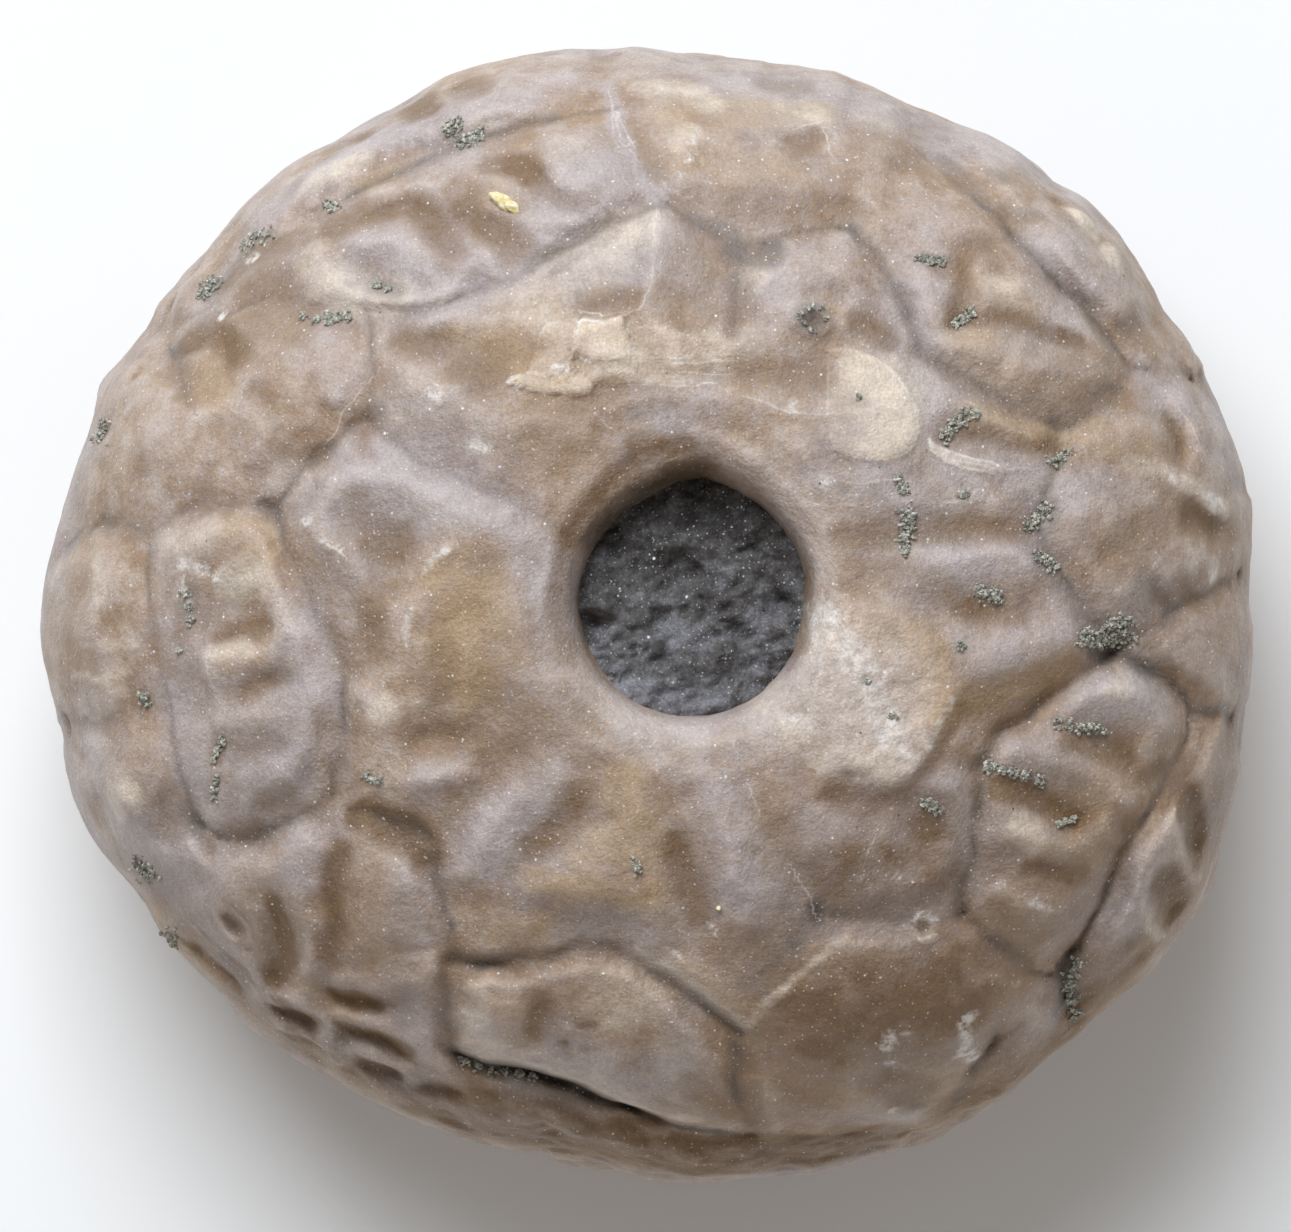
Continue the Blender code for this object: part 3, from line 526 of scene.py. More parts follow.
for degrees in range(0, 360, 8):
    for stretch in (1.0, 1.03):
        reach = stretch * outline_radius(math.radians(degrees))
        x, y = reach * math.cos(math.radians(degrees)), reach * math.sin(math.radians(degrees))
        tent_points.append((x, y, 0.0))


def tent_over(points):
    """Stretch a tent over points that have a height."""
    flat, _, faces, origins, _, _ = geometry.delaunay_2d_cdt(
        [Vector(p[:2]) for p in points], [], [], 0, 1e-4, True
    )
    return BVHTree.FromPolygons([(*p, points[start[0]][2]) for p, start in zip(flat, origins)], faces)


def height_of(tent, x, y):
    """The height of the tent at x, y, or None past its edge."""
    hit = tent.ray_cast(Vector((x, y, 9.0)), Vector((0.0, 0.0, -1.0)))[0]
    return hit and hit.z


# Between the folds the stone is cleaved in small facets, each with a lean of its own. Coarse
# facets come first, and finer ones lie on them.
FACETS = [(1.3, 0.065), (0.6, 0.03)]  # width and lean
dice = random.Random(3)
for width, lean in FACETS:
    tent = tent_over(tent_points)
    for row in np.arange(-WIDTH / 2, WIDTH / 2, width):
        for column in np.arange(-LENGTH / 2, LENGTH / 2, width):
            x, y = column + dice.uniform(0, width), row + dice.uniform(0, width)
            height = height_of(tent, x, y)
            if height is not None:
                tent_points.append((x, y, height + dice.gauss(0.0, lean)))
tent = tent_over(tent_points)
FOLD_STRENGTH = 1.2
SILT_LEVEL = -0.18  # valleys deeper than this are partly silted up
SILTED_SHARE = 0.4
lie = np.zeros(len(bun))
for i in np.nonzero(crown)[0]:
    lie[i] = FOLD_STRENGTH * (height_of(tent, *seen[i]) or 0.0)
lie = np.where(lie < SILT_LEVEL, SILT_LEVEL + SILTED_SHARE * (lie - SILT_LEVEL), lie)
relief += soften(lie, 2) * crown

# The seams themselves: depth and half width of the sharp fold, and its course.
SEAMS = [
    (0.10, 0.25, [(-2.3, 2.3), (-4.0, 3.3), (-6.0, 4.2), (-7.3, 5.15)]),
    (0.25, 0.25, [(-7.3, 5.15), (-7.9, 5.0), (-8.5, 4.4), (-9.2, 3.7), (-9.8, 3.0)]),
    (0.06, 0.25, [(-7.3, 5.15), (-7.25, 6.3), (-7.2, 7.3), (-7.4, 8.1)]),
    (0.08, 0.35, [
        (-7.8, -5.1), (-7.0, -5.35), (-6.1, -5.6), (-5.5, -6.0), (-5.55, -6.9), (-5.3, -7.8), (-5.1, -8.8),
    ]),
    (0.25, 0.25, [(-5.1, -9.05), (-4.0, -9.2), (-2.5, -8.95), (-1.4, -8.75), (-0.4, -9.0), (0.6, -9.75)]),
    (0.25, 0.22, [(0.6, -9.75), (1.6, -10.4), (2.5, -11.0)]),
    (0.12, 0.25, [(-5.15, -9.2), (-5.3, -10.4), (-5.15, -11.5)]),
    (0.12, 0.25, [(2.55, -11.0), (2.4, -12.0), (2.5, -13.0), (2.8, -13.8)]),
    (0.42, 0.18, [
        (-5.1, -11.6), (-4.4, -11.95), (-3.0, -12.2), (-1.9, -12.55), (-0.9, -13.0), (0.3, -13.45),
    ]),
    (0.2, 0.18, [(0.3, -13.45), (1.5, -13.7), (2.8, -13.85)]),
    (0.12, 0.2, [(2.8, -10.5), (3.6, -9.7), (4.4, -9.0), (5.0, -8.5)]),
    (0.12, 0.2, [(4.6, -7.8), (5.6, -8.0), (6.6, -8.0), (7.2, -8.0)]),
    (0.25, 0.25, [(9.4, -11.2), (9.0, -11.8), (8.5, -12.6), (8.2, -13.2)]),
    (0.12, 0.22, [
        (11.1, 4.2), (10.7, 3.4), (10.35, 2.5), (10.8, 1.5), (11.3, 0.7), (11.8, 0.0), (12.3, -0.6),
    ]),
    (0.28, 0.25, [(12.4, -1.0), (11.3, -1.75), (10.3, -2.6), (9.4, -3.2), (8.95, -3.9)]),
    (0.18, 0.22, [(8.95, -3.9), (8.85, -5.0), (8.75, -6.1), (8.55, -7.0), (8.4, -7.9)]),
    (0.25, 0.22, [(12.4, -1.0), (13.3, -1.35), (14.0, -1.8), (14.5, -2.35), (14.4, -3.3)]),
    (0.25, 0.2, [
        (14.4, -3.3), (13.9, -4.4), (13.2, -5.4), (12.6, -6.5), (12.2, -7.6), (11.7, -8.5), (11.1, -9.3),
    ]),
    (0.2, 0.2, [(8.4, -7.9), (9.2, -8.6), (10.2, -9.3), (10.9, -9.6)]),
    (0.2, 0.22, [(14.5, -2.4), (15.2, -2.65), (15.8, -2.75)]),
    (0.15, 0.22, [(15.9, 1.15), (14.8, 0.6), (13.8, 0.0), (13.0, -0.6), (12.5, -0.9)]),
    (0.15, 0.25, [(5.55, 10.3), (6.1, 9.5), (6.7, 8.7), (7.0, 7.9), (7.3, 7.1)]),
    (0.1, 0.25, [(7.3, 7.1), (7.9, 6.6), (8.9, 6.1), (9.9, 5.5), (10.9, 5.0)]),
    (0.12, 0.22, [(10.9, 5.0), (11.8, 5.4), (12.5, 5.9), (12.9, 6.5)]),
    (0.15, 0.25, [(12.9, 6.5), (12.5, 7.3), (11.6, 8.3), (10.8, 9.0), (10.2, 9.7), (9.5, 10.5), (8.8, 11.1)]),
    (0.15, 0.25, [(8.8, 11.1), (8.0, 11.8), (7.4, 12.3)]),
    (0.15, 0.25, [(13.0, 6.6), (13.9, 6.6), (14.7, 6.4)]),
    (0.15, 0.25, [(0.4, 11.0), (1.3, 10.5), (2.1, 10.05), (2.7, 9.75)]),
    (0.1, 0.25, [(2.7, 9.75), (3.4, 10.0), (4.5, 10.3), (5.5, 10.25)]),
    (0.1, 0.25, [(2.7, 9.75), (2.5, 9.0), (2.4, 7.9)]),
    (0.12, 0.22, [(0.4, 11.0), (-0.6, 10.55), (-1.7, 9.95), (-2.7, 9.4), (-3.9, 8.9), (-5.0, 8.45)]),
    (0.12, 0.22, [(-0.9, 13.5), (-2.5, 13.2), (-4.0, 12.85), (-5.3, 12.35), (-6.8, 11.7), (-8.3, 10.85)]),
    (0.08, 0.2, [(-12.6, 7.9), (-11.3, 8.05), (-10.2, 8.4)]),
    (0.1, 0.25, [(-12.7, 7.4), (-12.4, 6.5), (-12.0, 5.6)]),
    (0.16, 0.22, [(-12.9, 2.3), (-12.2, 2.75), (-11.2, 2.95), (-10.3, 2.95), (-9.85, 2.7)]),
    (0.14, 0.25, [
        (-9.85, 2.7), (-9.2, 1.2), (-8.6, 0.0), (-8.1, -1.0), (-8.0, -2.5), (-8.1, -3.8), (-8.3, -4.8),
    ]),
    (0.18, 0.22, [(-8.3, -4.8), (-9.4, -5.4), (-10.2, -5.8), (-10.9, -5.95), (-11.7, -5.6), (-12.0, -5.1)]),
    (0.1, 0.25, [(-12.0, -5.1), (-12.3, -4.2), (-12.5, -3.2), (-12.8, -1.6), (-13.1, 0.0), (-13.15, 1.6)]),
    (0.15, 0.25, [(-13.3, 2.3), (-14.2, 2.5), (-15.0, 2.3), (-15.5, 1.9)]),
]


def trace(course, reach, gap, side):
    """Note how far each vertex within reach is from the nearest line, and on which side."""
    index, distance, turn = near(course, reach)
    nearer = distance < gap[index]
    gap[index[nearer]] = distance[nearer]
    side[index[nearer]] = (distance * turn)[nearer]


FAR = 3.0  # stands for every distance out of reach of the lines
seam_gap, seam_side, hair_gap, hair_side = np.full((4, len(bun)), FAR)
patchy = np.clip(0.7 + 1.6 * lumps(1.6, 2), 0.0, 1.4)
for depth, width, course in SEAMS:
    plain = relief.copy()
    crease(course, 0.8 * depth, 0.7 * width)
    relief = plain + (relief - plain) * patchy
    trace(course, 1.5, seam_gap, seam_side)

# Small soft hollows, sunk, and knobs, raised where the depth is negative.
DENTS = [
    # scallops and hollows of the rim, clockwise from the right
    (0.3, 0.55, [(14.5, -5.0), (14.7, -6.1)]),
    (0.3, 0.55, [(13.8, -7.1), (14.1, -7.8)]),
    (0.15, 0.45, [(13.2, -9.0)]),
    (-0.08, 0.3, [(14.2, -5.2), (14.3, -6.4), (14.7, -7.0)]),
    (-0.08, 0.3, [(13.2, -7.0), (13.2, -8.1), (13.7, -8.6)]),
    (0.12, 0.35, [(-13.3, -6.7)]),
    (0.1, 0.3, [(-12.6, -8.5)]),
    (0.2, 0.35, [(-15.3, -2.9)]),
    (-0.12, 0.25, [(-15.5, -2.3), (-14.7, -2.4), (-13.8, -2.1)]),
    (-0.15, 0.5, [(-13.8, -4.9)]),
    (0.2, 0.35, [(-14.3, 4.9)]),
    (0.15, 0.3, [(-13.5, 6.4)]),
    (0.12, 0.25, [(-12.7, 8.4)]),
    (0.12, 0.25, [(-12.0, 9.2)]),
    (0.1, 0.6, [(-4.6, 13.9), (-4.9, 14.3)]),
    (0.12, 0.6, [(-5.8, 13.4), (-6.2, 13.8)]),
    (0.1, 0.6, [(-7.5, 12.7)]),
    (0.08, 0.5, [(-9.3, 11.3)]),
    (-0.15, 0.35, [(11.65, 10.55)]),
    (-0.12, 0.35, [(12.5, 9.6)]),
    (0.15, 0.35, [(11.1, 10.9)]),
    (0.2, 0.45, [(-11.9, -8.9), (-11.1, -9.6)]),
    (0.22, 0.42, [(-9.9, -10.4), (-9.0, -10.75)]),
    (0.22, 0.42, [(-9.5, -11.2), (-8.7, -11.5)]),
    (0.2, 0.38, [(-8.1, -10.1), (-7.2, -10.3)]),
    (0.18, 0.36, [(-7.9, -11.0), (-6.7, -11.35)]),
    (0.2, 0.38, [(-7.6, -11.85), (-6.7, -12.2)]),
    (0.15, 0.35, [(-5.7, -12.6), (-5.0, -12.7)]),
    (0.08, 0.35, [(12.0, 10.0)]),
    # west plate
    (0.06, 0.16, [(-12.1, 0.6), (-12.15, 0.2), (-11.6, -0.25)]),
    (0.12, 0.18, [(-11.2, -3.2), (-11.35, -3.8)]),
    (0.12, 0.16, [(-11.3, -4.4), (-11.5, -4.8)]),
    (-0.1, 0.15, [(-11.6, -1.1), (-11.5, -1.7), (-11.2, -2.3)]),
    # left and top
    (0.15, 0.25, [(-6.9, 8.7)]),
    (0.08, 0.14, [(-6.6, 8.5), (-5.9, 8.5), (-5.6, 8.9)]),
    (0.08, 0.14, [(-7.1, 8.1), (-6.4, 8.15)]),
    (0.1, 0.3, [(-5.6, 1.3), (-5.9, 1.0)]),
    (0.07, 0.22, [(-6.2, -0.2), (-6.3, -0.8)]),
    (-0.05, 0.15, [(-5.9, -0.1), (-5.9, -0.7)]),
    # south plate and its neighbours
    (0.05, 0.12, [(-1.8, -10.75), (-1.55, -10.95), (-1.25, -10.8)]),
    (0.1, 0.16, [(-2.2, -11.3)]),
    (0.1, 0.16, [(0.1, -7.45)]),
    # ring crater and ring mark
    (0.16, 0.16, [(7.4, -8.25)]),
    (0.06, 0.25, [(4.45, 7.85)]),
    # right of the pit
    (0.12, 0.16, [(5.9, -1.7)]),
    (0.15, 0.18, [(6.5, -2.6)]),
    (0.1, 0.2, [(5.4, -4.3), (5.9, -4.3)]),
    (0.1, 0.2, [(7.2, 9.4), (7.8, 9.35)]),
    (0.1, 0.2, [(8.3, 7.8), (8.6, 8.0)]),
    (0.15, 0.25, [(13.6, 0.5), (13.9, 0.2)]),
    # pale rims of the plates below the pit
    (-0.05, 0.16, [(2.8, -10.75), (3.6, -9.95), (4.6, -9.05), (5.3, -8.5)]),
    (-0.05, 0.14, [(-0.1, -8.85), (0.7, -9.5), (1.6, -10.15), (2.6, -10.85)]),
]
for depth, width, course in DENTS:
    press(course, depth, width)

# Raised rings, where small round things once sat on the cup: centre and radius.
RINGS = [((7.4, -8.25), 0.33), ((4.45, 7.85), 0.36), ((-10.9, -8.2), 0.55)]
RING_RISE = 0.11
RING_WIDTH = 0.13
for centre, radius in RINGS:
    index, distance, _ = near([centre], 1.5)
    relief[index] += RING_RISE * np.exp(-(((distance - radius) / RING_WIDTH) ** 2))

# Chips, where flakes of calcite broke away or stand proud: rise, edge width, freshness and
# outline. Freshness sets how pale a chip is painted: partly clean calcite, and partly painted
# light and shade on its facets. They follow the straight cleavage of calcite, so they do not
# waver.
CHIPS = [
    (0.07, 0.12, 0.5, [(-0.3, 7.75), (0.8, 7.6), (1.9, 7.3), (1.7, 7.0), (0.9, 6.85), (-0.3, 6.8)]),
    (0.05, 0.12, 0.38, [(-0.2, 6.75), (1.4, 6.75), (2.1, 6.6), (1.5, 6.25), (-0.2, 6.2)]),
    (0.16, 0.12, 0.5, [(-2.95, 7.1), (-2.65, 7.75), (-1.85, 7.9), (-1.9, 7.0), (-1.95, 6.4), (-3.05, 6.5)]),
    (0.24, 0.06, 1.0, [
        (-1.75, 7.9), (-1.2, 7.82), (-0.65, 8.0), (-0.42, 7.3), (-0.48, 6.8), (-1.45, 6.75), (-1.95, 7.0),
    ]),
    (0.1, 0.05, 0.45, [(-1.5, 7.05), (-1.3, 7.1), (-0.3, 6.95), (-0.22, 6.3), (-1.45, 6.3)]),
    (0.06, 0.06, 0.35, [(-2.1, 6.8), (-1.4, 6.75), (-0.3, 6.7), (-0.2, 6.2), (-1.5, 6.15), (-2.1, 6.4)]),
    (0.18, 0.05, 0.9, [
        (-3.75, 6.25), (-3.3, 6.42), (-2.4, 6.5), (-1.7, 6.32), (-1.4, 6.15), (-1.5, 5.88),
        (-2.2, 5.92), (-3.0, 6.02),
    ]),
    (0.14, 0.08, 0.78, [
        (4.85, 7.12), (5.5, 7.12), (6.1, 6.9), (6.6, 6.5), (7.0, 5.95), (7.2, 5.5), (7.28, 4.9), (7.05, 4.35),
        (6.4, 4.15), (5.6, 4.2), (5.0, 4.4), (4.85, 5.2),
    ]),
    (0.1, 0.05, 0.6, [
        (7.5, 4.8), (7.75, 4.5), (8.6, 4.22), (9.4, 4.05), (10.2, 3.95), (9.5, 3.82), (8.6, 3.9),
        (8.0, 4.1), (7.6, 4.4),
    ]),
]
# Some flakes thin out to nothing on one side: the place, and how far from it they are whole.
THINNED = [
    ((4.2, 5.3), 2.4), ((4.2, 6.8), 1.8), ((10.6, 3.8), 2.6),
    ((2.2, 7.0), 1.8), ((-3.2, 7.3), 1.0), ((1.9, 6.2), 1.6),
]
whole = np.ones(len(bun))
for place, reach in THINNED:
    whole *= ease(np.linalg.norm(straight - place, axis=1) / reach)
fresh = np.full(len(bun), -4.0)
freshness_and_facet_shade = np.zeros(len(bun))
for rise, edge, clean_and_facet_shade, outline in CHIPS:
    depth = inside(outline)
    relief += rise * whole * ease(0.5 + depth / (2 * edge)) * crown
    freshness_and_facet_shade[depth > -0.05] = clean_and_facet_shade
    fresh = np.maximum(fresh, depth)

# A larger scar beside the pit, where a flake came off and left the stone rough and pale. It
# fades out at the lower left, and it is roughest along its middle.
SCAR = [
    (4.1, 0.35), (4.6, 0.62), (5.2, 0.6), (6.4, 0.2), (7.5, -0.4), (8.0, -1.1), (8.38, -1.95), (7.75, -3.0),
    (7.1, -4.15), (6.3, -4.45), (5.5, -4.6), (4.8, -3.9), (4.4, -2.6), (4.6, -1.3), (4.3, -0.4),
]
scar = inside(SCAR) * ease(np.linalg.norm(straight - (4.7, -4.5), axis=1) / 2.8)
relief += (0.05 * lumps(0.4, 3) * ease(scar / 0.8) + 0.08 * ease(0.5 + scar / 0.14)) * crown
index, distance, _ = near([(4.6, 0.2), (5.4, -0.8), (6.1, -2.1), (6.6, -3.3)], 1.3)
relief[index] += (0.14 * lumps(0.32, 3) * crown)[index] * ease(1.2 - distance)

# Thin ledges and cracks with pale lips. They stand a little over the stone round them.
HAIRLINES = [
    [(4.5, 2.95), (6.0, 2.9), (7.2, 2.98), (9.4, 3.1)],
    [(4.8, 3.65), (6.0, 3.55), (7.0, 3.6)],
    [(2.2, 5.9), (3.3, 5.65), (3.8, 5.45), (6.0, 5.45), (7.1, 5.4)],
    [(-0.95, 14.0), (-0.85, 13.2), (-0.7, 12.6), (-0.3, 12.2)],
    [(-0.75, 13.4), (-0.5, 12.8), (-0.3, 12.4)],
    [(0.2, 10.6), (0.2, 9.9), (0.1, 9.0), (-0.05, 8.2), (-0.6, 8.0)],
    [(2.45, -3.0), (2.4, -3.6)],
    [(2.7, -4.4), (3.05, -5.2)],
    [(4.0, -6.9), (4.5, -7.8)],
    [(-0.4, 6.8), (0.6, 6.75), (2.0, 6.8)],
    [(-0.3, 6.2), (0.6, 6.15), (1.7, 6.2)],
    [(3.2, 12.5), (4.0, 12.9), (4.7, 13.1)],
    [(4.75, 12.8), (4.95, 12.3), (5.2, 12.05)],
    [(-9.1, 2.6), (-8.5, 2.0), (-8.0, 1.6)],
    [(-11.6, -1.1), (-11.55, -1.7), (-11.2, -2.4)],
    [(-10.9, 1.9), (-10.4, 2.2)],
    [(5.9, -6.4), (6.1, -6.0)],
    [(-7.3, 6.3), (-7.9, 5.5), (-8.5, 4.6)],
    [(-1.9, 8.12), (-1.0, 8.02), (-0.5, 8.05)],
    [(-2.5, 6.62), (-2.1, 6.58), (-1.85, 6.5)],
    [(7.7, 4.85), (7.85, 4.4), (8.3, 4.05), (9.2, 3.85), (10.2, 3.9)],
    [(7.9, 4.5), (8.6, 4.25), (9.4, 4.0)],
    [(-5.6, 6.2), (-5.2, 6.05), (-4.8, 6.1)],
    [(-1.4, 5.5), (-1.1, 5.15), (-0.95, 5.0)],
    [(0.5, 4.0), (0.8, 4.15)],
    [(14.2, 5.5), (14.5, 5.0), (14.85, 4.2)],
    [(9.8, 2.9), (9.9, 2.4)],
    [(4.7, 0.5), (4.8, -0.6), (4.5, -2.0)],
]
LEDGE_RISE = 0.025
LEDGE_WIDTH = 0.12
for course in HAIRLINES:
    press(course, -LEDGE_RISE, LEDGE_WIDTH)
    trace(course, 1.0, hair_gap, hair_side)

# The stem pit: a funnel that narrows to a well, which the rock plug fills. The well is not
# quite round, and the funnel is widest at the upper left.
WELL = [  # direction in degrees, and radius
    (0, 2.9), (12, 3.0), (39, 2.95), (64, 3.0), (84, 3.2), (94, 3.1), (109, 2.9), (128, 2.8), (151, 2.86),
    (180, 2.95), (214, 2.98), (241, 3.04), (270, 3.04), (303, 3.02), (325, 2.95), (345, 2.88), (360, 2.9),
]
FUNNEL = [  # distance out from the wall of the well, and height
    (-0.4, -3.6), (-0.12, -3.1), (0.0, -2.3), (0.14, -1.2), (0.35, -0.68), (0.8, -0.3), (1.6, -0.08),
    (3.0, 0.0),
]
FLARE = 0.55  # how much wider the funnel is at the upper left
FLARE_TURN = 118  # its direction, in degrees
FLARE_SPREAD = 42
from_pit = np.hypot(*(bun[:, :2] - PIT_CENTRE).T)
pit_turn = np.degrees(np.arctan2(*(bun[:, 1::-1] - PIT_CENTRE[::-1]).T))
off_flare = (pit_turn - FLARE_TURN + 180) % 360 - 180
mouth = from_pit - np.interp(pit_turn % 360, *zip(*WELL))
flare = FLARE * np.exp(-((off_flare / FLARE_SPREAD) ** 2))
mouth = np.where(mouth > 0, mouth / (1 + flare), mouth)
above = bun[:, 2] > WAIST_HEIGHT + 4.0
relief = np.where(above, relief * ease(mouth / 0.8), relief)
relief += above * np.interp(mouth, *zip(*FUNNEL))

# The flank and the worn side, which lie out of sight: ten arm bases stand side by side over a
# ring groove, and under that the mouth side is worn flat.
ARM_BASES = 10
ARM_SPACING = 360.0 / ARM_BASES  # in degrees
FIRST_ARM = 11.0  # direction in degrees
RING_GROOVE_HEIGHT = 3.4
hidden = ease((WAIST_HEIGHT - 0.5 - bun[:, 2]) / 2.0)
for arm in range(ARM_BASES):
    between = FIRST_ARM + ARM_SPACING * (arm + 0.5)
    groove = [(between + 2.0 * math.sin(z + arm), z) for z in (5.6, 5.0, 4.2, RING_GROOVE_HEIGHT)]
    press(groove, 0.5, 0.8, on_flank)
    crease(groove, 0.4, 0.25, on_flank)
    middle = between + ARM_SPACING / 2
    press([(middle, 4.9), (middle, 4.3)], -0.25, 1.0, on_flank)
ring = [(d, RING_GROOVE_HEIGHT + 0.25 * math.sin(0.09 * d)) for d in range(0, 361, 10)]
press(ring, 0.3, 0.7, on_flank)
crease(ring, 0.3, 0.25, on_flank)

# Uneven stone: broad swells, then lumps, then the sugary roughness of the worn plates.
UNEVENNESS = [  # size, rise, further rise out of sight, and octaves
    (3.6, 0.06, 0.3, 2), (1.3, 0.03, 0.07, 3), (0.5, 0.012, 0.0, 3), (0.25, 0.004, 0.0, 2),
]
for size, rise, further, octaves in UNEVENNESS:
    relief += (rise + further * hidden) * lumps(size, octaves)
# The lower rim is knobbly, except in its seams.
lower_rim = ease((-12.3 - bun[:, 1]) / 1.2) * ease((8.0 - np.abs(bun[:, 0] - 1.0)) / 2.0)
relief += 0.14 * lower_rim * lumps(0.9, 2) * ease(seam_gap / 0.8)

# On the crown the stone rises and sinks along the line of sight, so no feature shifts sideways.
upright = np.maximum(out[:, 2:], 0.7)
lean = (np.array([0.0, 0.0, 1.0]) - out * out[:, 2:]) / upright * crown[:, None]
moved = bun + (out + lean) * relief[:, None]
low, high = moved.min(0), moved.max(0)
for axis, size in ((0, LENGTH), (1, WIDTH)):
    moved[:, axis] *= np.where(moved[:, axis] > 0, size / 2 / high[axis], -size / 2 / low[axis])
moved[:, 2] = np.maximum(moved[:, 2], 0.0)
for vert, place in zip(ball.verts, moved):
    vert.co = place
bmesh.ops.recalc_face_normals(ball, faces=ball.faces[:])
ball.normal_update()
facing = np.array([v.normal for v in ball.verts])
stone_tree = BVHTree.FromBMesh(ball)

# How far each vertex lies below its surroundings, which are the stone blurred.
blurred = np.column_stack([soften(moved[:, axis], 50) for axis in range(3)])
hollow_depth = ((blurred - moved) * facing).sum(1)


def painted(strokes):
    """A layer of soft strokes: strength, half width and course of each."""
    layer = np.zeros(len(bun))
    for strength, width, course in strokes:
        index, distance, _ = near(course, 1.6 * width)
        soft = 1.0 - ease((distance / width - 0.3) / 1.3)
        layer[index] = np.maximum(layer[index], strength * soft)
    return layer
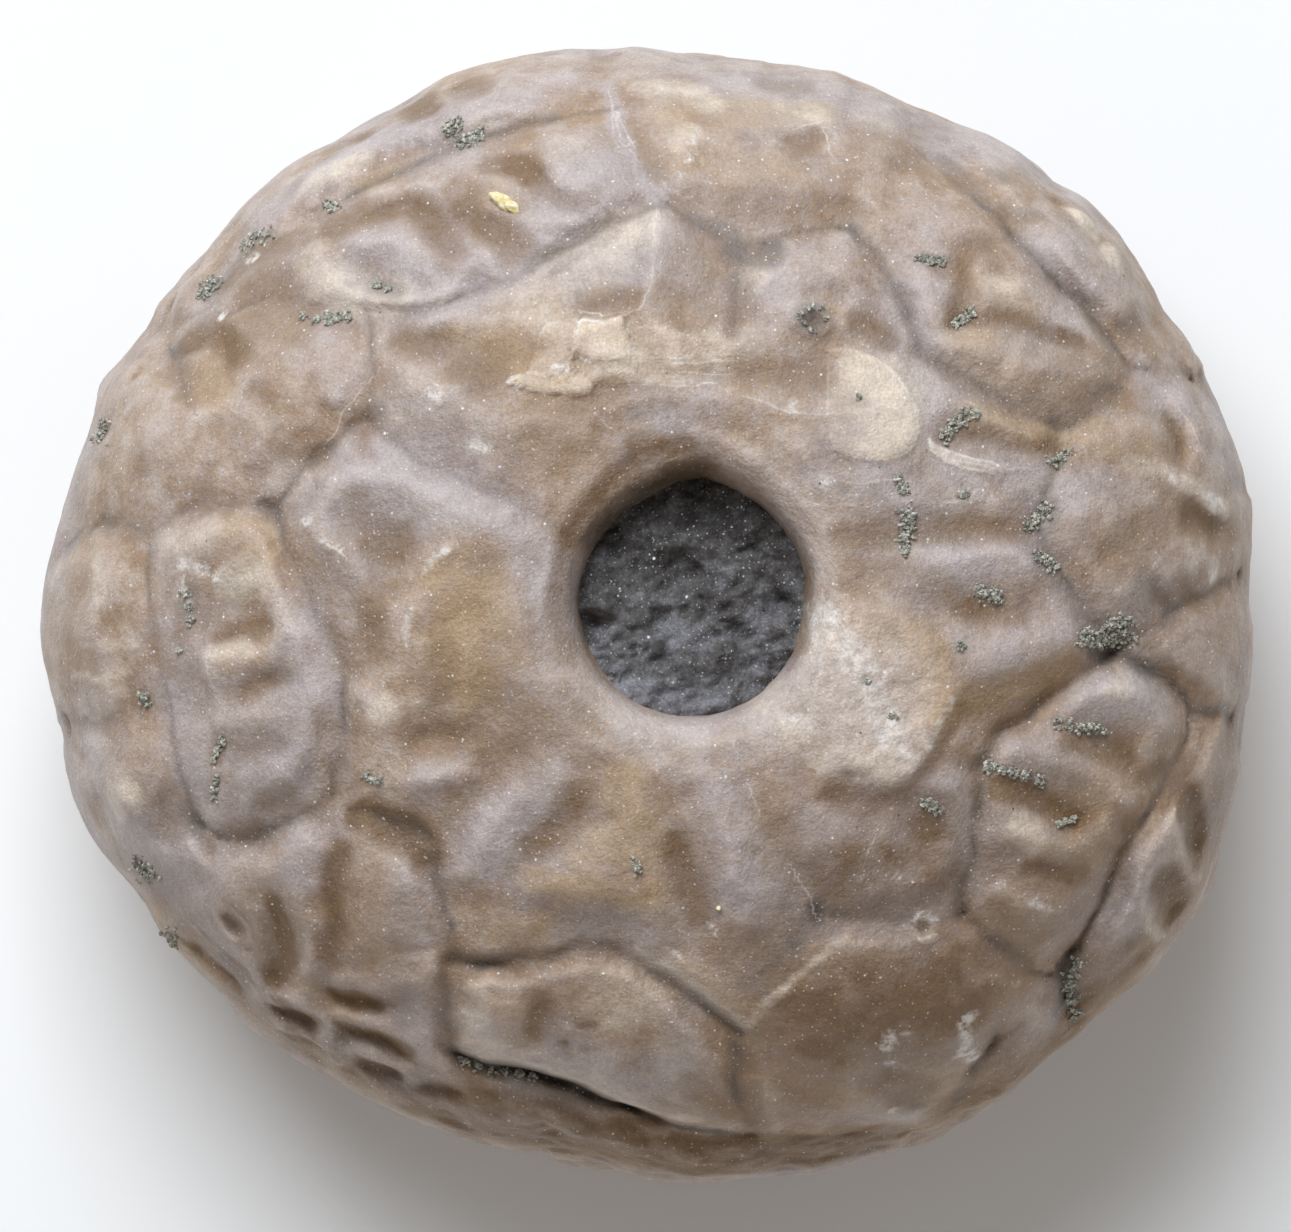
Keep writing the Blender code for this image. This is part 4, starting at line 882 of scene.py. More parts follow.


# Fine mud has soaked into the calcite and stained it brown, mostly where water stood. Some of
# these brown strokes are painted shade: on the shadowed sides of lumps, under ledges and crests,
# and down the pit's north wall.
BROWN_STAINS_AND_SHADE = [
    # the north-west plates: brown, with painted shade on the shadowed sides of lumps
    (0.8, 0.4, [(-4.1, 11.95), (-3.3, 12.0), (-2.95, 11.7)]),
    (0.45, 0.35, [(-2.7, 11.3), (-2.0, 11.0), (-1.4, 11.2)]),
    (0.6, 0.5, [(-4.9, 11.4), (-4.7, 10.7), (-4.0, 10.2), (-3.4, 9.9)]),
    (0.65, 0.55, [(-8.3, 10.3), (-7.3, 10.7), (-6.1, 10.9), (-5.5, 10.3), (-5.2, 9.6)]),
    (0.5, 0.5, [(-11.0, 9.0), (-10.0, 9.7), (-9.2, 9.9)]),
    (0.5, 0.9, [(-10.3, 9.0), (-9.5, 8.8)]),
    (0.75, 0.5, [(-12.2, 7.3), (-11.3, 7.6), (-10.8, 7.0)]),
    (0.4, 0.7, [(-10.4, 7.9), (-9.2, 7.6)]),
    (0.6, 0.6, [(-4.6, 13.9), (-4.8, 14.2)]),
    (0.8, 0.6, [(-5.8, 13.4), (-6.1, 13.6)]),
    (0.6, 0.6, [(-7.5, 12.7)]),
    (0.25, 0.6, [(-9.3, 11.3)]),
    (0.55, 0.5, [(-6.3, 7.3), (-5.4, 7.2)]),
    (0.5, 0.6, [(-4.9, 6.6), (-4.1, 6.4), (-3.9, 6.9)]),
    (0.5, 0.4, [(-1.5, 8.4), (-0.9, 8.5), (-0.3, 8.5)]),
    (0.3, 0.8, [(0.8, 8.5), (1.6, 8.4)]),
    (0.35, 0.9, [(1.2, 9.5), (1.8, 9.2)]),
    (0.4, 0.35, [(4.3, 12.4), (4.6, 12.8)]),
    (0.45, 0.5, [(3.3, 14.1), (4.1, 14.1)]),
    (0.35, 0.4, [(-0.2, 12.7), (0.3, 11.8)]),
    (0.35, 0.8, [(2.4, 11.0), (5.0, 10.9)]),
    (0.3, 0.9, [(6.0, 12.6), (6.8, 12.2)]),
    (0.6, 0.4, [(5.7, 7.8), (6.4, 7.4)]),
    (0.6, 0.3, [(8.2, 7.8), (9.5, 8.0), (10.6, 7.6), (11.5, 7.3)]),
    (0.55, 0.35, [(8.4, 9.4), (8.5, 8.8), (8.2, 8.2)]),
    (0.4, 0.4, [(7.9, 9.2), (9.0, 9.9)]),
    (0.25, 0.35, [(12.0, 10.0), (12.1, 9.9)]),
    (0.4, 0.4, [(11.1, 10.9), (11.2, 10.5)]),
    (0.3, 0.35, [(11.4, 5.6), (12.4, 5.9)]),
    (0.4, 0.8, [(10.2, 5.9), (11.8, 6.3)]),
    (0.4, 0.5, [(12.0, 7.0), (12.7, 6.6)]),
    (0.45, 0.35, [(8.3, 5.0), (9.5, 4.8), (10.8, 4.5)]),
    (0.45, 0.35, [(13.9, 5.2), (14.3, 4.4)]),
    (0.7, 0.45, [(14.4, 2.6), (15.2, 2.35)]),
    (0.35, 0.6, [(11.3, 2.2), (12.5, 2.0), (13.6, 2.4)]),
    (0.4, 0.4, [(14.3, 1.0), (14.6, 0.4)]),
    (0.4, 0.5, [(13.4, -0.6), (14.2, -0.3)]),
    (0.45, 0.45, [(5.2, 2.2), (7.6, 2.3), (9.8, 2.3)]),
    (0.4, 0.5, [(2.6, 6.5), (4.6, 6.3)]),
    (0.8, 0.4, [(-0.3, 4.5), (1.0, 4.5)]),
    # painted shade down the pit's north wall, which faces away from the light
    (0.7, 0.5, [(-2.0, 2.1), (-1.4, 2.9), (-0.4, 3.7), (0.6, 4.0), (1.6, 3.95)]),
    (0.5, 0.35, [(-2.2, 1.4), (-2.4, 0.2), (-2.1, -1.1)]),
    (0.6, 0.2, [(4.25, 1.0), (4.35, 0.0), (4.2, -0.9)]),
    (0.35, 0.7, [(-3.6, 4.4), (-2.4, 4.6)]),
    (0.6, 0.4, [(8.6, 0.3), (9.2, 0.05), (10.0, 0.1)]),
    (0.4, 0.5, [(6.6, 1.2), (8.0, 0.7)]),
    # painted shade, over brown stain, on the slopes that drop away from the scar and down to the groove
    (0.35, 0.4, [(8.6, -2.5), (9.6, -2.4), (10.6, -1.9), (11.5, -1.3)]),
    (0.4, 0.3, [(9.3, -3.0), (10.3, -2.4), (11.3, -1.6)]),
    (0.5, 0.22, [(8.4, -2.4), (7.8, -3.4), (7.2, -4.4)]),
    (0.6, 0.45, [(4.9, -4.7), (5.9, -5.0), (6.9, -4.7)]),
    (0.45, 0.6, [(7.2, -5.4), (7.6, -6.0)]),
    (0.6, 0.4, [(11.2, -3.3), (12.0, -3.5), (12.8, -3.7)]),
    (0.95, 0.4, [(9.5, -4.5), (10.5, -4.9), (11.5, -5.4)]),
    (0.5, 0.35, [(12.5, -5.2), (12.9, -5.6)]),
    (0.6, 0.35, [(13.3, -4.2), (13.7, -4.0)]),
    (0.6, 0.35, [(10.2, -6.7), (11.6, -6.9)]),
    (0.35, 0.6, [(9.3, -6.4), (9.5, -8.0)]),
    (0.4, 0.5, [(10.6, -8.4), (11.2, -8.0)]),
    (1.0, 0.6, [(14.5, -5.0), (14.8, -6.2)]),
    (1.0, 0.6, [(13.9, -7.0), (14.2, -7.8)]),
    (0.5, 0.45, [(13.1, -9.0), (12.8, -9.4)]),
    (0.75, 2.2, [(5.0, -10.6), (8.0, -10.2)]),
    (0.4, 1.0, [(4.2, -11.6), (4.3, -12.9)]),
    (0.55, 0.5, [(2.5, -11.4), (2.6, -12.6), (3.0, -13.5)]),
    (0.5, 0.8, [(6.3, -12.2), (7.2, -12.7)]),
    (0.4, 0.8, [(9.5, -10.8), (9.4, -11.8)]),
    (0.6, 0.7, [(7.6, -5.2), (7.7, -6.6)]),
    (0.9, 0.3, [(0.8, -13.9), (1.6, -14.0), (2.4, -13.95)]),
    (0.5, 0.35, [(5.0, -13.7), (6.6, -13.7)]),
    (0.55, 0.4, [(-2.6, -10.2), (-2.9, -11.0)]),
    (0.8, 0.13, [(-1.7, -10.9), (-1.3, -10.85)]),
    (0.7, 0.12, [(-2.2, -11.3)]),
    (0.4, 0.6, [(1.3, -12.4), (1.9, -13.2)]),
    (0.4, 0.6, [(-1.2, -9.1), (0.4, -9.9)]),
    (0.55, 0.5, [(0.8, -6.1), (1.1, -7.0), (1.5, -8.0)]),
    (0.6, 0.55, [(-2.9, -6.1), (-2.2, -5.4), (-1.7, -4.8)]),
    (0.25, 0.5, [(-2.9, -7.8), (-1.0, -7.9), (0.4, -8.0)]),
    (0.3, 1.0, [(2.2, -8.6), (3.4, -8.2)]),
    (0.65, 1.1, [(5.2, -6.8), (7.4, -6.8)]),
    (0.35, 0.5, [(3.7, -5.6), (4.3, -6.6)]),
    (0.35, 0.9, [(-3.2, -3.4), (-2.0, -2.6)]),
    (0.4, 0.8, [(-5.8, -3.2), (-4.7, -3.3)]),
    (0.4, 0.8, [(-4.1, -1.7), (-3.4, -2.4)]),
    (0.9, 0.6, [(-7.4, -5.4), (-6.3, -5.8), (-5.8, -6.2)]),
    (0.55, 0.6, [(-7.2, 1.9), (-6.4, 1.9)]),
    (0.4, 0.4, [(-7.6, 3.2), (-7.2, 2.6)]),
    (0.5, 0.5, [(-7.3, 0.3), (-7.2, -0.5)]),
    (0.5, 0.5, [(-5.3, -0.9), (-5.5, -1.9)]),
    (0.4, 0.6, [(-9.6, 4.7), (-8.8, 4.4)]),
    (0.35, 0.6, [(-7.8, 2.0), (-8.5, 1.0)]),
    (0.65, 0.3, [(-11.3, -0.55), (-10.7, -0.4), (-10.1, -0.15)]),
    (0.5, 0.35, [(-10.6, -2.0), (-10.0, -1.8), (-9.6, -1.5)]),
    (0.4, 0.4, [(-10.8, -3.3), (-9.8, -3.3)]),
    (0.45, 0.4, [(-10.2, -4.9), (-9.6, -4.6)]),
    (0.5, 0.35, [(-10.9, -5.7), (-10.2, -5.6)]),
    (0.4, 0.4, [(-12.3, -0.5)]),
    (0.3, 0.6, [(-15.1, 0.6), (-15.3, -0.6)]),
    (0.3, 0.6, [(-15.3, -1.5), (-14.6, -1.4)]),
    (0.3, 0.7, [(-12.9, -5.4), (-12.3, -5.0)]),
    # the south-west scallops: brown, with painted shade in the hollow under each crest
    (0.7, 0.4, [(-8.1, -6.2), (-8.35, -7.2), (-8.2, -8.2), (-8.3, -9.2)]),
    (0.9, 0.38, [(-9.9, -7.6), (-9.55, -8.4), (-9.5, -9.1), (-9.9, -9.7)]),
    (0.8, 0.35, [(-11.6, -8.5), (-10.9, -9.2), (-10.5, -9.6)]),
    (0.45, 0.25, [(-10.9, -8.3)]),
    (0.9, 0.38, [(-8.2, -10.1), (-7.2, -10.3)]),
    (0.9, 0.38, [(-9.6, -10.3), (-8.8, -10.7)]),
    (0.9, 0.4, [(-9.2, -11.2), (-8.4, -11.6)]),
    (0.9, 0.35, [(-7.9, -11.0), (-7.2, -11.1), (-6.4, -11.5)]),
    (0.9, 0.35, [(-7.5, -11.8), (-6.7, -12.1)]),
    (0.7, 0.35, [(-5.7, -12.5), (-5.0, -12.6)]),
    (0.5, 0.4, [(-2.6, -13.4)]),
    (0.6, 0.5, [(-1.2, -13.9)]),
    (0.3, 0.8, [(-6.6, -7.6), (-6.9, -8.6)]),
    # the lower rim, painted browner all along
    (0.75, 0.8, [(-4.9, -12.8), (-2.9, -13.2), (-1.0, -13.7), (1.2, -14.2)]),
    (0.8, 0.5, [(2.4, -14.0), (4.6, -14.0), (6.8, -13.8)]),
    (0.42, 1.6, [(-12.4, -7.8), (-9.6, -10.9), (-6.4, -12.6)]),
    (0.8, 1.2, [(-5.6, -13.2), (-2.6, -13.9), (1.5, -14.5), (5.6, -14.2)]),
    (0.65, 1.2, [(8.6, -13.0), (10.8, -11.4), (12.8, -9.2)]),
    (0.4, 1.3, [(14.0, -8.0), (15.0, -6.0), (15.6, -3.6)]),
    (0.35, 2.0, [(-7.6, -9.8), (-10.0, -8.4)]),
    (0.35, 1.6, [(6.0, -5.6), (4.9, -7.0)]),
    (0.3, 2.0, [(10.6, -3.2), (10.6, -7.6)]),
]
# Iron has turned some of the calcite ochre.
OCHRE_STAINS = [
    (0.7, 0.9, [(-5.2, 0.6), (-5.0, -0.8), (-4.6, -1.6)]),
    (0.5, 1.0, [(-4.6, 0.9), (-3.8, -0.6)]),
    (0.7, 0.8, [(-0.6, -4.3), (-0.3, -5.2)]),
    (0.75, 0.45, [(-3.0, -7.0), (-1.5, -7.2), (0.2, -7.3)]),
    (0.5, 0.9, [(-1.5, -6.3), (-0.2, -6.2)]),
    (0.5, 0.4, [(-2.8, -8.2), (-4.0, -8.4)]),
    (0.6, 0.5, [(-5.0, 7.4), (-3.8, 7.2), (-3.4, 6.8)]),
    (0.5, 0.6, [(-4.6, 11.6), (-4.3, 11.2)]),
    (0.5, 0.5, [(-10.9, 2.2), (-10.2, 1.9), (-10.1, 1.4)]),
    (0.5, 0.4, [(-11.1, -1.2), (-10.3, -1.1)]),
    (0.85, 0.6, [(7.2, -0.6), (7.8, -1.5), (7.9, -2.4)]),
    (0.5, 0.6, [(5.6, 0.2), (6.8, -0.4)]),
    (0.8, 0.45, [(8.5, -2.1), (9.6, -1.9), (10.6, -1.6), (11.4, -1.1)]),
    (0.6, 0.5, [(8.6, 5.4), (10.6, 4.7)]),
    (0.5, 0.7, [(11.3, 4.7), (13.2, 4.4)]),
    (0.5, 1.0, [(1.5, 12.0), (3.4, 11.9)]),
    (0.45, 1.0, [(1.0, 13.4), (3.0, 13.3)]),
    (0.5, 0.6, [(3.9, 13.5), (4.8, 13.4)]),
    (0.5, 0.7, [(9.2, 8.4), (10.0, 8.3)]),
    (0.5, 0.4, [(8.3, 7.2), (9.2, 7.3)]),
    (0.4, 1.0, [(8.6, 6.9), (10.4, 6.5), (11.8, 6.5)]),
    (0.4, 0.4, [(0.6, -8.8), (1.7, -9.7), (2.6, -10.4)]),
    (0.45, 0.6, [(-11.7, 6.4), (-11.2, 5.7)]),
    (0.5, 0.6, [(-9.0, -9.8), (-8.0, -10.6)]),
    (0.5, 0.8, [(7.4, -12.0), (8.2, -12.8)]),
    (0.5, 0.8, [(4.8, -12.6), (6.2, -12.9)]),
    (0.5, 0.7, [(-3.6, -10.5), (-3.3, -11.2)]),
    (0.4, 0.6, [(11.6, -5.9), (12.4, -5.6)]),
    (0.4, 0.5, [(-6.4, 12.2), (-7.4, 11.6)]),
    (0.9, 0.13, [(-0.7, -7.4), (-0.3, -7.5), (0.2, -7.45)]),
    (0.9, 0.3, [(-2.5, -13.5), (-2.3, -13.75)]),
    (0.9, 0.35, [(-1.4, -14.1), (-0.9, -14.2)]),
    (0.8, 0.25, [(3.3, -14.0), (4.6, -13.75), (6.6, -13.55)]),
    # the lower rim
    (0.5, 1.0, [(-12.6, -8.4), (-10.0, -11.0), (-6.6, -12.9), (-3.0, -14.0)]),
    (0.6, 1.0, [(-3.0, -14.0), (1.5, -14.6), (5.6, -14.2), (9.0, -12.8)]),
    (0.5, 1.2, [(9.0, -12.8), (11.5, -10.8), (13.2, -9.2), (14.8, -6.6)]),
    (0.4, 2.2, [(6.0, -11.6), (9.4, -8.6), (11.6, -5.6)]),
]
# Thick, unstained calcite keeps its lilac grey.
LILAC_CALCITE = [
    (0.7, 0.8, [(-7.6, 4.2), (-5.8, 3.9), (-4.6, 3.2), (-3.4, 2.6)]),
    (0.5, 0.9, [(-3.0, 1.4), (-2.8, 0.2)]),
    (0.6, 0.7, [(-5.8, -4.5)]),
    (0.45, 0.7, [(-4.7, -6.2), (-4.0, -5.4), (-3.2, -4.6)]),
    (0.7, 0.9, [(2.0, -5.0), (2.3, -6.2), (2.7, -7.4)]),
    (0.6, 0.7, [(4.6, -5.4), (5.6, -5.6)]),
    (0.7, 0.8, [(-9.6, -4.0), (-9.2, -2.5), (-9.2, -1.2)]),
    (0.6, 0.6, [(-8.7, -0.2), (-8.5, -1.6), (-8.3, -3.0)]),
    (0.6, 0.7, [(-12.6, -2.2), (-12.2, -4.0)]),
    (0.7, 0.8, [(10.2, -0.2), (11.3, -0.1)]),
    (0.7, 0.7, [(8.6, 1.5), (10.2, 1.6)]),
    (0.6, 0.9, [(8.6, -1.2), (9.8, -0.9)]),
    (0.7, 0.8, [(11.8, -2.2), (13.4, -2.2)]),
    (0.7, 0.5, [(9.8, -3.6), (11.4, -4.1)]),
    (0.6, 0.5, [(7.7, -4.6), (8.2, -4.2)]),
    (0.6, 0.9, [(12.8, -7.6), (12.4, -9.2)]),
    (0.6, 0.8, [(-8.6, -6.0), (-9.2, -6.8)]),
    (0.6, 0.8, [(-6.1, -6.6), (-6.0, -8.4)]),
    (0.5, 0.8, [(-11.4, -6.6), (-12.4, -7.2)]),
    (0.6, 0.8, [(-7.4, 9.7), (-5.4, 9.5)]),
    (0.9, 0.7, [(-10.2, 10.4), (-9.0, 11.5), (-7.4, 12.4), (-5.6, 13.0)]),
    (0.6, 0.7, [(-3.0, 10.4), (-1.8, 11.2), (-1.2, 12.0)]),
    (0.6, 0.8, [(-4.8, 9.0), (-3.4, 9.2)]),
    (0.5, 0.9, [(-8.6, 7.2), (-8.0, 6.4)]),
    (1.0, 0.22, [(0.3, 11.1), (-0.1, 11.7), (-0.5, 12.5), (-0.8, 13.2), (-0.95, 14.2)]),
    (0.6, 0.8, [(-2.0, 14.2), (-3.4, 13.7)]),
    (0.5, 1.0, [(7.4, 10.6), (7.2, 8.8)]),
    (0.5, 0.9, [(10.8, 9.8), (12.0, 8.6)]),
    (0.5, 0.8, [(13.4, 6.0), (14.4, 6.0)]),
    (0.5, 0.8, [(1.6, 5.6), (1.0, 5.2)]),
    (0.5, 0.6, [(-1.6, -8.3), (-0.4, -8.4), (0.3, -8.9)]),
    (0.5, 0.7, [(-6.4, -10.2), (-6.0, -11.2)]),
]
# Worn ridges and bruises, where tiny cracks scatter the light.
CREAM_WEAR = [
    (0.4, 0.8, [(-2.6, 8.8), (-1.4, 9.3), (-0.4, 10.2)]),
    (0.5, 0.35, [(-0.9, 9.8), (0.1, 10.5)]),
    (0.4, 0.6, [(-3.6, 8.2), (-2.3, 8.1)]),
    (0.6, 0.35, [(-0.3, 7.6), (0.6, 7.45)]),
    (0.35, 0.5, [(0.6, 7.4), (1.9, 7.2)]),
    (0.4, 0.25, [(-0.3, 6.9), (0.7, 6.9)]),
    (0.2, 0.4, [(0.7, 6.9), (2.0, 6.95)]),
    (0.6, 0.7, [(6.6, 4.7), (6.7, 5.6), (5.9, 6.6)]),
    (0.5, 0.5, [(-1.2, 7.5), (-0.9, 7.0)]),
    (0.4, 0.7, [(4.8, -3.4), (6.4, -3.9)]),
    (0.4, 0.5, [(4.6, -0.4), (4.5, -1.8)]),
    (0.5, 0.5, [(0.0, 14.0), (0.9, 14.1), (1.6, 13.6)]),
    (0.45, 0.4, [(3.8, 13.6), (4.6, 13.3)]),
    (0.4, 0.3, [(0.9, 12.4), (1.2, 12.9)]),
    (0.7, 0.5, [(-11.0, 0.9), (-10.3, 0.9)]),
    (0.25, 0.6, [(-12.4, 2.0), (-11.6, 2.2)]),
    (0.6, 0.3, [(-11.4, -1.0), (-10.6, -0.8)]),
    (0.6, 0.45, [(-6.9, -2.5)]),
    (0.5, 0.7, [(-8.7, 9.4), (-8.0, 8.7), (-6.8, 8.5)]),
    (0.7, 0.6, [(-8.6, 11.6), (-7.6, 12.1)]),
    (0.6, 0.4, [(10.3, -5.9), (9.9, -5.4)]),
    (0.5, 0.5, [(12.6, -1.9)]),
    (0.65, 0.3, [(12.8, 4.05), (14.0, 3.75), (14.8, 3.25), (15.4, 2.8)]),
    (1.0, 0.4, [(11.55, 10.6), (11.75, 10.3)]),
    (0.8, 0.45, [(12.4, 9.5)]),
    (0.6, 0.35, [(15.2, 1.2)]),
    (0.5, 0.6, [(9.6, 8.6)]),
    (0.6, 0.5, [(-14.0, -4.9), (-13.6, -4.6)]),
    (0.6, 0.16, [(-15.4, -2.4), (-14.4, -2.5), (-13.7, -2.3)]),
    (0.5, 0.14, [(-15.2, -1.6), (-14.3, -1.65), (-13.6, -1.5)]),
    (0.5, 0.14, [(-14.9, -0.75), (-14.2, -0.8), (-13.5, -0.7)]),
    (0.4, 0.3, [(-14.4, 0.6), (-14.5, 1.4)]),
    (0.5, 0.8, [(3.6, -2.2), (4.3, -3.2)]),
    (0.7, 0.3, [(4.4, -2.9), (3.8, -2.8)]),
    (0.4, 0.8, [(-1.0, -10.4), (-0.2, -9.6)]),
    (0.4, 0.5, [(-4.6, -10.0), (-4.6, -11.2), (-3.6, -11.7)]),
    (0.4, 0.4, [(-2.4, -11.9), (-0.6, -12.7)]),
    (0.5, 0.5, [(2.8, 9.0)]),
    (0.45, 0.18, [(14.1, -8.7), (13.5, -8.3), (13.2, -7.6), (13.5, -6.8)]),
    (0.45, 0.16, [(14.1, -5.2), (14.1, -6.0), (14.4, -6.8), (14.8, -7.0)]),
    (0.45, 0.16, [(2.8, -10.75), (3.6, -9.95), (4.6, -9.05), (5.3, -8.5)]),
    (0.45, 0.22, [(-0.2, -8.8), (0.7, -9.45), (1.6, -10.1), (2.6, -10.8)]),
    (0.6, 0.16, [(-4.7, -11.6), (-3.4, -11.8), (-2.2, -12.15), (-1.1, -12.6), (-0.2, -13.0), (1.4, -13.4)]),
]
BRUISES = [
    (0.75, 0.16, [(-5.75, 5.9), (-5.45, 5.85)]),
    (0.75, 0.16, [(-9.0, 2.55)]),
    (0.5, 0.08, [(-8.7, 2.2), (-8.1, 1.7)]),
    (0.5, 0.13, [(-5.3, 1.8), (-5.8, 1.2)]),
    (0.5, 0.1, [(-6.2, 0.2), (-6.35, -0.3), (-6.3, -0.8)]),
    (1.0, 0.14, [(-10.6, 9.5), (-10.4, 9.55)]),
    (0.9, 0.16, [(-11.3, 8.0)]),
    (0.7, 0.12, [(-2.4, 6.58), (-2.0, 6.5)]),
    (0.8, 0.18, [(8.35, -11.6), (8.6, -11.2), (8.5, -10.8), (8.7, -10.6)]),
    (0.7, 0.2, [(8.6, -11.6), (8.8, -11.8)]),
    (0.7, 0.16, [(6.5, -11.4), (6.6, -11.0)]),
    (0.6, 0.14, [(6.5, -11.8), (6.8, -11.9)]),
    (0.5, 0.14, [(7.0, -11.1)]),
    (0.7, 0.16, [(6.6, -13.1)]),
    (0.6, 0.16, [(9.9, -9.7)]),
    (0.85, 0.2, [(14.9, 3.15), (15.3, 2.85)]),
    (0.6, 0.18, [(14.0, 3.65)]),
    (0.8, 0.2, [(15.15, 1.1)]),
    (0.75, 0.12, [(-12.3, 1.3), (-11.8, 1.25), (-11.3, 1.0)]),
    (0.5, 0.12, [(-12.25, 0.9), (-12.15, 0.3)]),
    (0.5, 0.4, [(4.7, 0.1), (5.4, -0.8), (6.1, -2.1), (6.6, -3.3)]),
    (0.55, 0.2, [(6.3, -3.2), (6.9, -3.6)]),
    (0.4, 0.12, [(8.2, -2.2), (7.6, -3.2), (7.1, -4.0)]),
    (0.6, 0.12, [(4.25, 0.3), (4.5, -0.7), (4.65, -1.4)]),
    (0.45, 0.25, [(3.9, -2.8), (4.4, -2.9)]),
    (0.5, 0.25, [(4.75, 3.5)]),
    (0.6, 0.14, [(3.9, 5.6)]),
    (0.5, 0.2, [(-4.5, 4.6), (-4.2, 4.5)]),
    (0.5, 0.12, [(10.3, -7.6), (10.8, -7.8)]),
    (0.5, 0.1, [(0.75, 11.3), (0.9, 11.7)]),
    (0.55, 0.1, [(1.05, 12.1), (1.2, 12.4)]),
    (0.45, 0.1, [(1.2, 12.6), (1.35, 12.9)]),
    (0.6, 0.1, [(1.75, -8.2)]),
    (0.6, 0.1, [(1.85, -8.4)]),
    (0.8, 0.1, [(5.72, -6.93)]),
    (0.6, 0.1, [(6.7, -6.95)]),
    (0.45, 0.1, [(0.5, -8.75), (0.9, -9.0)]),
    (0.45, 0.1, [(7.1, -8.1), (7.4, -7.9), (7.7, -8.1)]),
    (0.4, 0.1, [(7.65, -8.5), (7.3, -8.6)]),
]
